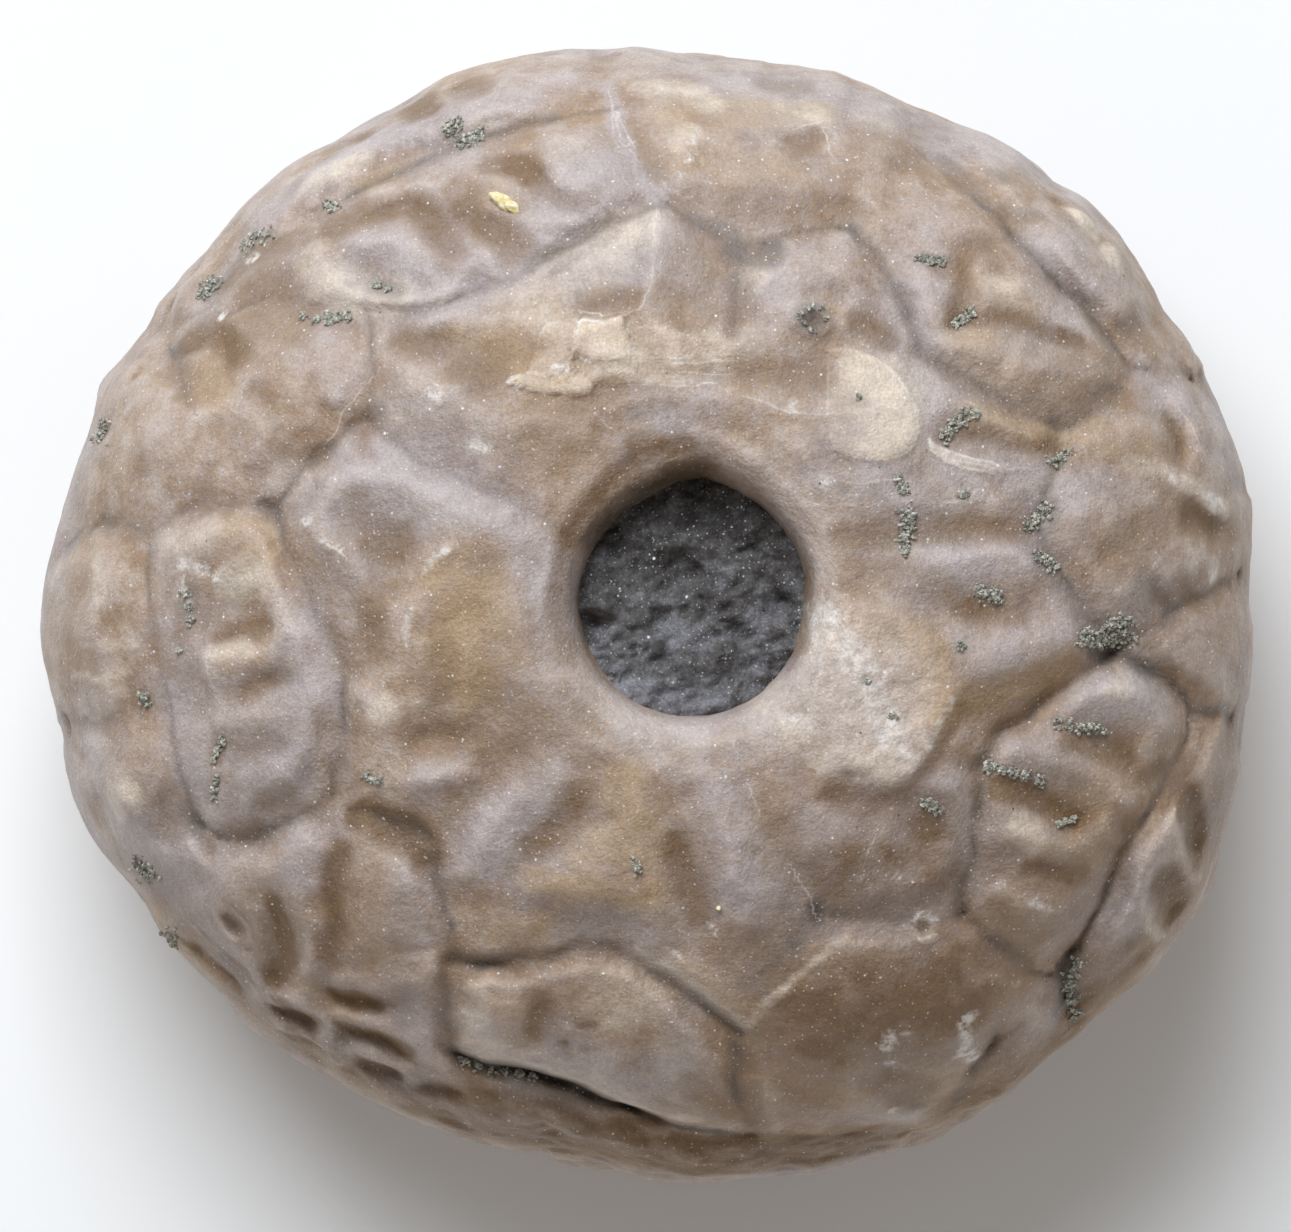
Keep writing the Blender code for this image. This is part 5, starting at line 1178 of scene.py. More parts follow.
# Grey-green clay is left in the seams and darkens them.
CLAY_FILM = [
    (0.8, 0.45, [(2.3, 9.8), (2.8, 9.6), (3.3, 9.7)]),
    (0.6, 0.35, [(1.3, 10.6), (2.2, 10.1)]),
    (0.4, 0.3, [(2.6, 9.3), (2.4, 8.4), (2.3, 7.6)]),
    (0.4, 0.3, [(-3.1, 9.4), (-2.2, 9.9), (-1.3, 10.4)]),
    (0.45, 0.25, [(5.6, 10.3), (6.2, 9.4), (6.7, 8.7), (7.0, 7.9), (7.3, 7.2)]),
    (0.4, 0.35, [(7.3, 7.2), (8.4, 6.3), (9.6, 5.7)]),
    (0.5, 0.35, [(8.0, 12.2), (8.7, 11.3), (9.4, 10.6), (10.2, 9.7), (10.8, 9.0), (11.6, 8.3), (12.5, 7.2)]),
    (0.5, 0.3, [(9.2, 11.8), (9.6, 11.6)]),
    (0.4, 0.3, [(9.4, 10.8), (10.5, 10.6)]),
    (0.5, 0.4, [(10.4, 2.6), (10.7, 2.9)]),
    (0.45, 0.45, [(10.4, 2.0), (11.0, 1.0), (11.9, -0.1)]),
    (0.4, 0.6, [(13.3, 0.9), (13.9, 0.3)]),
    (0.7, 0.35, [(11.8, -0.6), (12.4, -1.0)]),
    (0.6, 0.25, [(12.4, -1.05), (13.4, -1.4), (14.4, -2.2)]),
    (0.5, 0.25, [(14.6, -2.4), (15.8, -2.7)]),
    (0.5, 0.25, [(10.3, -2.6), (9.4, -3.2), (8.9, -4.0)]),
    (0.4, 0.25, [(8.9, -4.4), (8.8, -6.0), (8.5, -7.2)]),
    (0.5, 0.16, [(14.4, -3.2), (13.2, -5.4), (12.2, -7.5), (11.6, -8.7)]),
    (0.8, 0.4, [(11.5, -9.0), (11.2, -9.6), (11.3, -10.3)]),
    (0.5, 0.3, [(9.4, -11.1), (8.9, -12.0), (8.4, -12.9)]),
    (0.7, 0.35, [(-5.0, -9.1), (-4.5, -9.2)]),
    (0.5, 0.25, [(-4.4, -9.1), (-2.5, -8.95), (-0.8, -8.8)]),
    (0.5, 0.25, [(0.2, -9.4), (1.4, -10.2), (2.5, -11.0)]),
    # the south crevice: clay, with painted shade under its overhanging lip
    (0.9, 0.3, [(-5.0, -11.6), (-4.4, -11.95), (-3.4, -12.1), (-2.2, -12.5), (-0.9, -13.0)]),
    (0.5, 0.25, [(-0.6, -13.1), (0.6, -13.5), (2.0, -13.8)]),
    (0.4, 0.3, [(-5.3, -9.6), (-5.3, -10.8)]),
    (0.4, 0.35, [(-7.0, -5.4), (-6.2, -5.6), (-5.6, -5.9)]),
    (0.45, 0.25, [(-5.5, -6.2), (-5.5, -7.2), (-5.3, -8.2)]),
    (0.45, 0.25, [(-10.2, 2.95), (-9.85, 2.7), (-9.6, 2.3)]),
    (0.25, 0.3, [(-9.4, 1.6), (-8.8, 0.2), (-8.2, -0.9), (-8.0, -3.0), (-8.2, -4.6)]),
    (0.4, 0.3, [(-8.5, -5.0), (-9.4, -5.4), (-10.4, -5.85), (-11.2, -5.9)]),
    (0.5, 0.4, [(-12.0, -5.4), (-11.8, -5.6)]),
    (0.2, 0.3, [(-12.1, -4.6), (-12.7, -2.2), (-13.1, 0.2), (-13.1, 1.8)]),
    (0.5, 0.35, [(-8.8, 4.3), (-8.4, 4.5)]),
    (0.45, 0.4, [(-7.6, 5.2), (-7.2, 5.4)]),
    (0.4, 0.4, [(-13.2, 2.3), (-14.6, 2.4), (-15.4, 1.9)]),
    (0.4, 0.3, [(-2.5, 13.2), (-4.6, 12.6), (-6.6, 11.8), (-7.8, 11.2)]),
    (0.5, 0.35, [(4.6, -7.7), (4.4, -8.2), (3.9, -8.6)]),
    (0.4, 0.5, [(3.4, -9.2), (3.0, -9.6)]),
    (0.5, 0.25, [(2.4, -11.4), (2.45, -12.8)]),
    (0.3, 0.25, [(5.0, -8.0), (7.0, -8.0)]),
    (0.5, 0.35, [(8.4, -7.8), (8.6, -7.2)]),
    (0.4, 0.25, [(8.8, -8.3), (10.2, -9.3)]),
    (0.4, 0.35, [(10.9, 5.1), (12.6, 6.0)]),
    (0.5, 0.4, [(-12.0, 0.6), (-12.2, 0.1)]),
    (0.35, 0.5, [(-11.6, 0.5), (-10.6, 0.5)]),
    (0.5, 0.35, [(-7.1, 8.8), (-6.6, 8.6)]),
    (0.45, 0.35, [(-11.6, 8.6), (-10.4, 9.9)]),
    (0.4, 0.4, [(-12.6, 7.2), (-12.2, 6.0)]),
    (0.5, 0.4, [(-14.4, 4.9)]),
    (0.45, 0.4, [(-13.3, -6.7)]),
    (0.4, 0.4, [(-12.5, -8.5)]),
    (0.4, 0.6, [(-5.8, -12.4), (-6.6, -12.4)]),
    (0.9, 0.48, [(4.45, 7.85)]),
]
# In the deepest cracks it lies thick and almost black. These near-black strokes are also painted
# shade: in the south crevice under its overhanging lip, under the ledge of the south seam, and
# down the pit's north wall.
DEEP_CLAY_AND_SHADE = [
    # painted shade down the pit's north wall, which faces away from the light
    (0.65, 0.35, [(-1.3, 2.0), (-0.8, 2.7), (0.2, 3.35), (1.4, 3.6)]),
    # painted shade in the south crevice under its overhanging lip, with clay
    (0.8, 0.16, [
        (-5.0, -11.65), (-4.3, -12.0), (-3.0, -12.25), (-1.9, -12.6), (-0.9, -13.05), (-0.3, -13.25),
    ]),
    (0.35, 0.35, [(-4.9, -11.9), (-4.0, -12.3), (-2.8, -12.6), (-1.6, -13.0)]),
    (0.35, 0.16, [(-0.3, -13.3), (0.6, -13.6), (2.0, -13.8)]),
    # painted shade under the ledge at the top of the south plate
    (0.3, 0.3, [(-5.0, -9.1), (-4.2, -9.2), (-3.2, -9.1)]),
    (0.8, 0.25, [(11.5, -9.0), (11.2, -9.6), (11.25, -10.2)]),
    (0.6, 0.2, [(12.0, -0.9), (12.4, -1.0)]),
    (0.2, 0.2, [(-10.0, 2.85), (-9.8, 2.7)]),
    (0.25, 0.45, [(-6.2, -5.8), (-5.7, -6.1)]),
    (0.5, 0.2, [(4.5, -7.7), (4.6, -8.0)]),
    (0.4, 0.2, [(-12.0, -5.4), (-11.7, -5.6)]),
]

for vert, place in zip(ball.verts, moved):
    vert.co = place * MM
calyx_mesh = bpy.data.meshes.new("calyx_stone")
ball.to_mesh(calyx_mesh)
ball.free()
calyx_mesh.shade_smooth()

# One number for each vertex in every layer, for the stone's material to read.
KEPT_LAYERS = {
    "hollow": hollow_depth, "seam_gap": seam_gap, "seam_side": seam_side, "hair_gap": hair_gap,
    "hair_side": hair_side, "fresh": fresh, "freshness_and_facet_shade": freshness_and_facet_shade * whole, "scar": scar,
    "brown_stain_and_shade": painted(BROWN_STAINS_AND_SHADE), "ochre_stain": painted(OCHRE_STAINS),
    "lilac_calcite": painted(LILAC_CALCITE), "cream_wear": painted(CREAM_WEAR),
    "bruise": painted(BRUISES), "clay_film": painted(CLAY_FILM), "deep_clay_and_shade": painted(DEEP_CLAY_AND_SHADE),
}
for name, values in KEPT_LAYERS.items():
    layer = calyx_mesh.attributes.new(name, "FLOAT", "POINT")
    layer.data.foreach_set("value", values.astype(np.float32))
calyx = bpy.data.objects.new("calyx_stone", calyx_mesh)
bpy.context.scene.collection.objects.link(calyx)

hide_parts("calyx")
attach(calyx, "root")


def linear(hex_colour):
    """An sRGB hex colour as the linear colour that a shader takes."""
    parts = [int(hex_colour[i:i + 2], 16) / 255 for i in (1, 3, 5)]
    return (*[p / 12.92 if p <= 0.04045 else ((p + 0.055) / 1.055) ** 2.4 for p in parts], 1.0)


def add(material, kind, links=None, inputs=None, **settings):
    """Add a node with its settings, its socket values and the links into its sockets."""
    tree = material.node_tree
    node = tree.nodes.new(kind)
    for key, value in settings.items():
        setattr(node, key, value)
    for key, value in (inputs or {}).items():
        node.inputs[key].default_value = value
    for key, source in (links or {}).items():
        tree.links.new(source, node.inputs[key])
    return node


def bare(name, roughness, specular):
    """A new material that has no colour yet, and its shader."""
    material = bpy.data.materials.new(name)
    material.use_nodes = True
    shader = material.node_tree.nodes["Principled BSDF"]
    shader.inputs["Roughness"].default_value = roughness
    shader.inputs["Specular IOR Level"].default_value = specular
    return material, shader


# Fossil calcite, rubbed and washed by the weather: waxy and a little see-through, lilac grey
# where it is thick, brown where fine mud has soaked in, and chalky where it is bruised.
calcite, calcite_shader = bare("calcite", 0.5, 0.35)
calcite_shader.inputs["IOR"].default_value = 1.55
calcite_shader.inputs["Subsurface Weight"].default_value = 0.4
calcite_shader.inputs["Subsurface Radius"].default_value = (1.0, 0.75, 0.5)
calcite_shader.inputs["Subsurface Scale"].default_value = 0.4 * MM
where = add(calcite, "ShaderNodeTexCoord").outputs["Object"]
PER_MM = 1 / MM
clouds, mottle, flecks, sugar = [
    add(
        calcite, "ShaderNodeTexNoise", {"Vector": where},
        {"Scale": PER_MM / size, "Detail": detail, "Roughness": roughness},
    ).outputs["Fac"]
    for size, detail, roughness in ((4.0, 3.0, 0.5), (1.1, 7.0, 0.65), (0.25, 4.0, 0.7), (0.07, 1.0, 0.5))
]


def stained(layer, most, breaks=mottle, ragged=1.0):
    """A cover where a kept layer is strong, its edge broken by a noise."""
    amount = add(calcite, "ShaderNodeAttribute", attribute_name=layer).outputs["Fac"]
    broken = add(
        calcite, "ShaderNodeMath", {0: breaks}, {1: 2.0 * ragged, 2: 1.0 - ragged}, operation="MULTIPLY_ADD"
    ).outputs[0]
    uneven = add(calcite, "ShaderNodeMath", {0: broken, 1: amount}, operation="MULTIPLY").outputs[0]
    return add(
        calcite, "ShaderNodeMapRange", {"Value": uneven},
        {"From Min": 0.1, "From Max": 0.8, "To Max": most},
    ).outputs["Result"]


def drawn(name, half_width, most):
    """A cover along the kept lines, thin and soft, and broken up along their length."""
    gap = add(calcite, "ShaderNodeAttribute", attribute_name=name + "_gap").outputs["Fac"]
    side = add(calcite, "ShaderNodeAttribute", attribute_name=name + "_side").outputs["Fac"]
    close = add(calcite, "ShaderNodeMath", {0: gap}, {1: 0.45}, operation="LESS_THAN").outputs[0]
    across = add(calcite, "ShaderNodeMath", {0: side}, operation="ABSOLUTE").outputs[0]
    strength = add(
        calcite, "ShaderNodeMapRange", {"Value": mottle},
        {"From Min": 0.4, "From Max": 0.62, "To Max": most},
    ).outputs["Result"]
    line = add(
        calcite, "ShaderNodeMapRange", {"Value": across, "To Min": strength},
        {"From Max": half_width, "To Max": 0.0},
    ).outputs["Result"]
    return add(calcite, "ShaderNodeMath", {0: line, 1: close}, operation="MULTIPLY").outputs[0]


def speckled(material, where, spacing, size, share):
    """A cover of small round specks, at most one to a cell, in a share of the cells."""
    cells = add(material, "ShaderNodeTexVoronoi", {"Vector": where}, {"Scale": PER_MM / spacing})
    pick = add(material, "ShaderNodeSeparateColor", {"Color": cells.outputs["Color"]})
    radius = size / spacing
    spot = add(
        material, "ShaderNodeMapRange", {"Value": cells.outputs["Distance"]},
        {"From Min": 0.3 * radius, "From Max": 0.6 * radius, "To Min": 1.0, "To Max": 0.0},
    ).outputs["Result"]
    chosen = add(
        material, "ShaderNodeMath", {0: pick.outputs["Red"]}, {1: share}, operation="LESS_THAN"
    ).outputs[0]
    strength = add(
        material, "ShaderNodeMath", {0: chosen, 1: pick.outputs["Green"]}, operation="MULTIPLY"
    ).outputs[0]
    return add(material, "ShaderNodeMath", {0: spot, 1: strength}, operation="MULTIPLY").outputs[0]


def coated(material, stone, coats):
    """The stone's colour under coats of other colours, each as thick as its cover says."""
    for hex_colour, cover in coats:
        stone = add(
            material, "ShaderNodeMix", {0: cover, 6: stone}, {7: linear(hex_colour)}, data_type="RGBA"
        ).outputs[2]
    return stone


# The bare stone runs from lilac grey to tan in clouds, with paler and duller patches.
blotches = add(
    calcite, "ShaderNodeMath", {0: flecks, 2: clouds}, {1: 0.4}, operation="MULTIPLY_ADD"
).outputs[0]
warmth = add(
    calcite, "ShaderNodeMapRange", {"Value": blotches}, {"From Min": 0.6, "From Max": 0.8}
).outputs["Result"]
stone = add(
    calcite, "ShaderNodeMix", {0: warmth},
    {6: linear("#afa29e"), 7: linear("#a98f77")}, data_type="RGBA",
).outputs[2]
hollow = add(calcite, "ShaderNodeAttribute", attribute_name="hollow").outputs["Fac"]
for hex_colour, source, start, end, most in (
    ("#c9bbb2", mottle, 0.48, 0.66, 0.6),  # pale patches
    ("#8d776a", mottle, 0.5, 0.34, 0.5),  # dull patches
    # darker brown in the hollows: partly mud, and partly painted shade in the recesses
    ("#836a4f", hollow, 0.0, 0.16, 0.5),  # brown in the hollows
    ("#d8cbc5", hollow, 0.0, -0.12, 0.35),  # pale on the ridges
):
    cover = add(
        calcite, "ShaderNodeMapRange", {"Value": source},
        {"From Min": start, "From Max": end, "To Max": most},
    ).outputs["Result"]
    stone = coated(calcite, stone, [(hex_colour, cover)])
stone = coated(calcite, stone, [
    ("#baafb0", stained("lilac_calcite", 0.6, ragged=1.6)),
    ("#b39670", stained("ochre_stain", 0.65, ragged=1.6)),
    # brown stain, partly painted shade on shadowed slopes
    ("#7a5e3f", stained("brown_stain_and_shade", 0.85, ragged=1.6)),
    ("#dfd0bf", stained("cream_wear", 0.75, ragged=1.8)),
    ("#6e6660", stained("clay_film", 0.7, ragged=1.6)),
    # near-black clay in the deepest cracks, partly painted shade
    ("#403d33", stained("deep_clay_and_shade", 0.82)),
    ("#594942", drawn("seam", 0.2, 0.5)),
])

# Fresh faces show through as pale sheets of crystal, with a bright broken rim. How pale each
# face is painted also stands for painted light and shade, brighter on the facets that face the
# light.
fresh_depth = add(calcite, "ShaderNodeAttribute", attribute_name="fresh").outputs["Fac"]
chip_tone_and_facet_shade = add(calcite, "ShaderNodeAttribute", attribute_name="freshness_and_facet_shade").outputs["Fac"]
on_chip = add(
    calcite, "ShaderNodeMapRange", {"Value": fresh_depth},
    {"From Min": -0.02, "From Max": 0.03, "To Max": 0.85},
).outputs["Result"]
drawn_out = add(
    calcite, "ShaderNodeMapping", {"Vector": where},
    {"Rotation": (0.0, 0.0, 0.1), "Scale": (0.35, 1.0, 1.0)},
).outputs["Vector"]
sheets = add(
    calcite, "ShaderNodeTexNoise", {"Vector": drawn_out},
    {"Scale": PER_MM / 0.5, "Detail": 5.0, "Roughness": 0.6},
).outputs["Fac"]
see_through = add(
    calcite, "ShaderNodeMapRange", {"Value": sheets},
    {"From Min": 0.38, "From Max": 0.6, "To Min": 0.35, "To Max": 1.0},
).outputs["Result"]
chip_face_and_facet_shade = add(
    calcite, "ShaderNodeMath", {0: on_chip, 1: chip_tone_and_facet_shade}, operation="MULTIPLY"
).outputs[0]
chip_cover_and_facet_shade = add(
    calcite, "ShaderNodeMath", {0: chip_face_and_facet_shade, 1: see_through}, operation="MULTIPLY"
).outputs[0]
fresh_colour = add(
    calcite, "ShaderNodeMix", {0: clouds},
    {6: linear("#ecdfd0"), 7: linear("#dcc4a6")}, data_type="RGBA",
).outputs[2]
stone = add(
    calcite, "ShaderNodeMix", {0: chip_cover_and_facet_shade, 6: stone, 7: fresh_colour}, data_type="RGBA"
).outputs[2]
from_rim = add(calcite, "ShaderNodeMath", {0: fresh_depth}, operation="ABSOLUTE").outputs[0]
chip_rim = add(
    calcite, "ShaderNodeMapRange", {"Value": from_rim},
    {"From Min": 0.01, "From Max": 0.06, "To Min": 1.0, "To Max": 0.0},
).outputs["Result"]
broken = add(
    calcite, "ShaderNodeMapRange", {"Value": mottle}, {"From Min": 0.45, "From Max": 0.6}
).outputs["Result"]
patchy_rim = add(calcite, "ShaderNodeMath", {0: chip_rim, 1: broken}, operation="MULTIPLY").outputs[0]
rim_cover = add(
    calcite, "ShaderNodeMath", {0: patchy_rim, 1: chip_tone_and_facet_shade}, operation="MULTIPLY"
).outputs[0]

# The scar is paler in patches, and bruises and ledges are whitened.
scar_depth = add(calcite, "ShaderNodeAttribute", attribute_name="scar").outputs["Fac"]
scar_patch = add(
    calcite, "ShaderNodeMath", {0: scar_depth, 1: mottle}, operation="MULTIPLY"
).outputs[0]
scar_cover = add(
    calcite, "ShaderNodeMapRange", {"Value": scar_patch},
    {"From Min": 0.02, "From Max": 0.3, "To Max": 0.5},
).outputs["Result"]
stone = coated(calcite, stone, [
    ("#f3ebe1", rim_cover),
    ("#dccabb", scar_cover),
    ("#efe9e4", stained("bruise", 0.75, breaks=flecks, ragged=3.0)),
    ("#e9e0d8", drawn("hair", 0.05, 0.65)),
])

# Sugary grain with a lie of its own, and specks: pale ones that are dust and painted glints
# of the calcite crystals together, and dark ones of dirt. The finest are drawn at 0.05 mm, so
# that they show.
fibres = add(
    calcite, "ShaderNodeMapping", {"Vector": where},
    {"Rotation": (0.0, 0.0, 0.7), "Scale": (1.0, 0.5, 1.0)},
).outputs["Vector"]
streaks = add(
    calcite, "ShaderNodeTexNoise", {"Vector": fibres},
    {"Scale": PER_MM / 0.13, "Detail": 4.0, "Roughness": 0.75},
).outputs["Fac"]
uneven = add(calcite, "ShaderNodeMath", {0: streaks, 1: sugar}, operation="ADD").outputs[0]
crystal = add(
    calcite, "ShaderNodeMapRange", {"Value": uneven},
    {"From Min": 0.6, "From Max": 1.4, "To Min": 0.8, "To Max": 1.2},
).outputs["Result"]
stone = add(
    calcite, "ShaderNodeVectorMath", {0: stone, "Scale": crystal}, operation="SCALE"
).outputs["Vector"]
stone = coated(calcite, stone, [
    # pale specks: dust and painted glints of crystal faces; the last ones are dark specks of dirt
    ("#e4dbd5", speckled(calcite, where, 0.12, 0.05, 0.4)),
    ("#f6f1ed", speckled(calcite, where, 0.3, 0.07, 0.5)),
    ("#fffdfa", speckled(calcite, where, 1.0, 0.09, 0.3)),
    ("#5b4b3e", speckled(calcite, where, 0.5, 0.07, 0.2)),
])
calcite.node_tree.links.new(stone, calcite_shader.inputs["Base Color"])
coarse = add(calcite, "ShaderNodeMath", {0: mottle, 1: flecks}, operation="ADD").outputs[0]
rough = add(
    calcite, "ShaderNodeMath", {0: sugar, 2: coarse}, {1: 0.25}, operation="MULTIPLY_ADD"
).outputs[0]
bump = add(calcite, "ShaderNodeBump", {"Height": rough}, {"Strength": 0.5, "Distance": 0.16 * MM})
calcite.node_tree.links.new(bump.outputs["Normal"], calcite_shader.inputs["Normal"])
calyx_mesh.materials.append(calcite)

# --- The rock in the stem pit ----------------------------------------------------------------
# Dark shale that set in the pit where the stem was joined. It is a lumpy cake that reaches the
# wall all round and stops a little below the rim.
PLUG_GRID = 80  # quads along each edge
PLUG_RADIUS = 3.6
PLUG_TOP = 15.35
PLUG_FLOOR = 13.3
PLUG_SLOPE = 0.1  # it drops to the far side
LUMP_STRENGTH = 1.4
PLUG_LUMPS = [  # rise, half width and place
    (0.22, 0.45, (0.4, 1.9)), (0.25, 0.5, (1.5, 1.95)), (0.22, 0.45, (2.4, 1.6)),
    (0.22, 0.4, (-1.35, 0.3)), (0.2, 0.7, (-0.2, 0.9)), (0.15, 0.8, (1.2, -1.6)),
    (0.2, 0.5, (2.6, 0.4)), (0.18, 0.6, (0.2, -0.5)), (-0.3, 0.35, (-1.4, -0.15)),
    (-0.35, 0.5, (3.4, 0.4)), (-0.25, 0.4, (0.35, -0.1)), (-0.2, 0.25, (0.35, -1.1)),
    (-0.25, 0.5, (1.0, 1.25)), (-0.2, 0.4, (2.4, -0.3)), (-0.15, 0.2, (0.4, -2.1)),
    (-0.35, 0.8, (1.6, 3.0)), (-0.2, 0.6, (-0.6, 1.6)), (0.15, 0.6, (3.3, -1.0)),
]
plug_shape = bmesh.new()
bmesh.ops.create_cube(plug_shape, size=2.0)
bmesh.ops.subdivide_edges(plug_shape, edges=plug_shape.edges[:], cuts=PLUG_GRID - 1, use_grid_fill=True)
for vert in plug_shape.verts:
    edge = max(abs(vert.co.x), abs(vert.co.y))
    flat = vert.co.xy.length
    disc = vert.co.xy * (edge / flat) if flat > 1e-6 else vert.co.xy
    z = (PLUG_TOP + PLUG_FLOOR) / 2 + vert.co.z * (PLUG_TOP - PLUG_FLOOR) / 2
    place = Vector((PIT_CENTRE[0] + disc.x * PLUG_RADIUS, PIT_CENTRE[1] + disc.y * PLUG_RADIUS, z))
    if vert.co.z > 0.99:
        for rise, width, middle in PLUG_LUMPS:
            swell = math.exp(-(((place.xy - Vector(middle)).length / width) ** 2))
            place.z += LUMP_STRENGTH * rise * swell
        # The rock splits in layers that rise a little to the right.
        split = Vector((0.75 * place.x + 0.3 * place.y, 1.5 * place.y - 0.5 * place.x, place.z))
        layered = 0.3 * noise.fractal(split / 0.8, 0.9, 2.0, 4)
        place.z += layered + 0.12 * noise.fractal(place / 0.25, 0.8, 2.0, 3)
        place.z -= PLUG_SLOPE * (place.y - PIT_CENTRE[1])
    vert.co = place * MM
plug_mesh = bpy.data.meshes.new("pit_rock")
plug_shape.to_mesh(plug_mesh)
plug_shape.free()
plug_mesh.shade_smooth()
plug = bpy.data.objects.new("pit_rock", plug_mesh)
bpy.context.scene.collection.objects.link(plug)
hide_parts("pit_matrix")
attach(plug, "root")

# Shale, split and weathered: nearly black with a blue cast, dull, and full of bright specks
# of lime and mica.
shale, shale_shader = bare("shale", 0.75, 0.3)
where = add(shale, "ShaderNodeTexCoord").outputs["Object"]
patches, grit = [
    add(
        shale, "ShaderNodeTexNoise", {"Vector": where},
        {"Scale": PER_MM / size, "Detail": detail, "Roughness": roughness},
    ).outputs["Fac"]
    for size, detail, roughness in ((0.9, 7.0, 0.75), (0.09, 4.0, 0.8))
]
# The plug is painted darker towards its north side: painted shade, where the pit's north wall keeps the light
# off it.
northward = add(shale, "ShaderNodeSeparateXYZ", {"Vector": where}).outputs["Y"]
north_side_painted_shade = add(
    shale, "ShaderNodeMapRange", {"Value": northward},
    {"From Min": -2.5 * MM, "From Max": 3.6 * MM, "To Min": 0.1, "To Max": -0.14},
).outputs["Result"]
shade = add(shale, "ShaderNodeMath", {0: patches, 1: north_side_painted_shade}, operation="ADD").outputs[0]
rock_tones = add(shale, "ShaderNodeValToRGB", {"Fac": shade})
rock_tones.color_ramp.elements[0].position = 0.32
rock_tones.color_ramp.elements[0].color = linear("#3a3634")
rock_tones.color_ramp.elements[1].position = 0.68
rock_tones.color_ramp.elements[1].color = linear("#95949a")
rock_tones.color_ramp.elements.new(0.48).color = linear("#646160")
grit_tone = add(
    shale, "ShaderNodeMapRange", {"Value": grit},
    {"From Min": 0.25, "From Max": 0.75, "To Min": 0.45, "To Max": 1.55},
).outputs["Result"]
rock = add(
    shale, "ShaderNodeVectorMath", {0: rock_tones.outputs["Color"], "Scale": grit_tone}, operation="SCALE"
).outputs["Vector"]
rock = coated(shale, rock, [
    ("#b8b8be", speckled(shale, where, 0.12, 0.055, 0.75)),
    ("#e6e6ea", speckled(shale, where, 0.18, 0.06, 0.6)),
    ("#ffffff", speckled(shale, where, 0.5, 0.09, 0.5)),
])
shale.node_tree.links.new(rock, shale_shader.inputs["Base Color"])
shale_bump = add(shale, "ShaderNodeBump", {"Height": grit}, {"Strength": 0.9, "Distance": 0.1 * MM})
shale.node_tree.links.new(shale_bump.outputs["Normal"], shale_shader.inputs["Normal"])
plug_mesh.materials.append(shale)

# --- Grains of clay ---------------------------------------------------------------------------
# Green-grey clay from the bed that the fossil lay in. Crumbs of it, each a cluster of grains
# of about 0.1 mm, still stick in the grooves and hollows.
GRAIN_CLUSTERS = [  # a fifth of the grains that are tried, spread and course
    (40, 0.16, [(7.9, 4.75), (8.2, 5.1), (8.45, 5.35)]), (20, 0.12, [(8.3, 5.1), (8.7, 5.3)]),
    (26, 0.13, [(6.65, 3.6), (6.85, 3.35)]), (50, 0.16, [(6.95, 2.75), (6.9, 2.3), (6.85, 1.75)]),
    (40, 0.16, [(8.8, 0.65), (9.25, 0.5)]), (10, 0.08, [(8.35, -0.8)]), (8, 0.12, [(8.4, 3.2)]),
    (70, 0.22, [(11.6, -0.55), (12.1, -0.65), (12.7, -0.5)]), (30, 0.2, [(12.2, -0.25), (12.6, -0.15)]),
    (26, 0.2, [(10.1, 2.4), (10.5, 2.8)]), (20, 0.18, [(10.4, 1.55), (10.7, 1.3)]),
    (14, 0.15, [(10.8, 4.1), (11.1, 4.3)]), (5, 0.05, [(5.65, 5.8)]), (7, 0.06, [(5.85, -1.7)]),
    (9, 0.09, [(6.5, -2.65)]), (24, 0.12, [(7.3, 9.45), (7.8, 9.35)]), (26, 0.14, [(8.2, 7.7), (8.6, 8.0)]),
    (46, 0.12, [(10.9, -2.85), (11.5, -2.95), (12.0, -3.0)]),
    (60, 0.13, [(9.1, -4.0), (9.7, -4.1), (10.4, -4.35)]), (16, 0.07, [(10.9, -5.5), (11.3, -5.35)]),
    (30, 0.13, [(7.45, -4.95), (7.7, -5.05)]), (60, 0.16, [(11.4, -9.2), (11.2, -9.8), (11.3, -10.5)]),
    (14, 0.09, [(-0.25, -6.5), (-0.2, -6.75)]), (16, 0.1, [(-7.35, -4.25), (-7.05, -4.35)]),
    (22, 0.1, [(-11.15, -3.3), (-11.4, -3.75)]), (12, 0.08, [(-11.35, -4.3), (-11.4, -4.8)]),
    (7, 0.05, [(-12.3, -0.9)]), (16, 0.09, [(-13.3, -2.05), (-13.15, -2.3)]),
    (20, 0.25, [(-13.3, -6.6), (-13.1, -6.9)]), (16, 0.2, [(-12.6, -8.4), (-12.5, -8.7)]),
    (18, 0.1, [(-7.05, 8.75), (-6.8, 8.65)]), (40, 0.13, [(-9.0, 7.9), (-8.4, 7.8), (-7.9, 7.9)]),
    (22, 0.12, [(-8.4, 10.85), (-8.2, 10.8)]), (16, 0.18, [(-10.5, 9.8), (-10.1, 10.1)]),
    (18, 0.18, [(-11.7, 8.5), (-11.4, 8.8)]), (40, 0.16, [(-4.9, 12.5), (-4.4, 12.7)]),
    (18, 0.15, [(-5.2, 12.8), (-4.9, 13.05)]), (16, 0.14, [(-14.4, 4.7), (-14.3, 5.1)]),
    (8, 0.07, [(4.8, 7.85), (4.62, 8.13), (4.3, 8.13), (4.1, 7.9), (4.2, 7.6), (4.5, 7.52)]),
    (40, 0.12, [(-4.8, -11.75), (-4.0, -12.0), (-3.0, -12.2)]), (16, 0.1, [(-12.1, 0.6), (-12.0, -0.1)]),
]


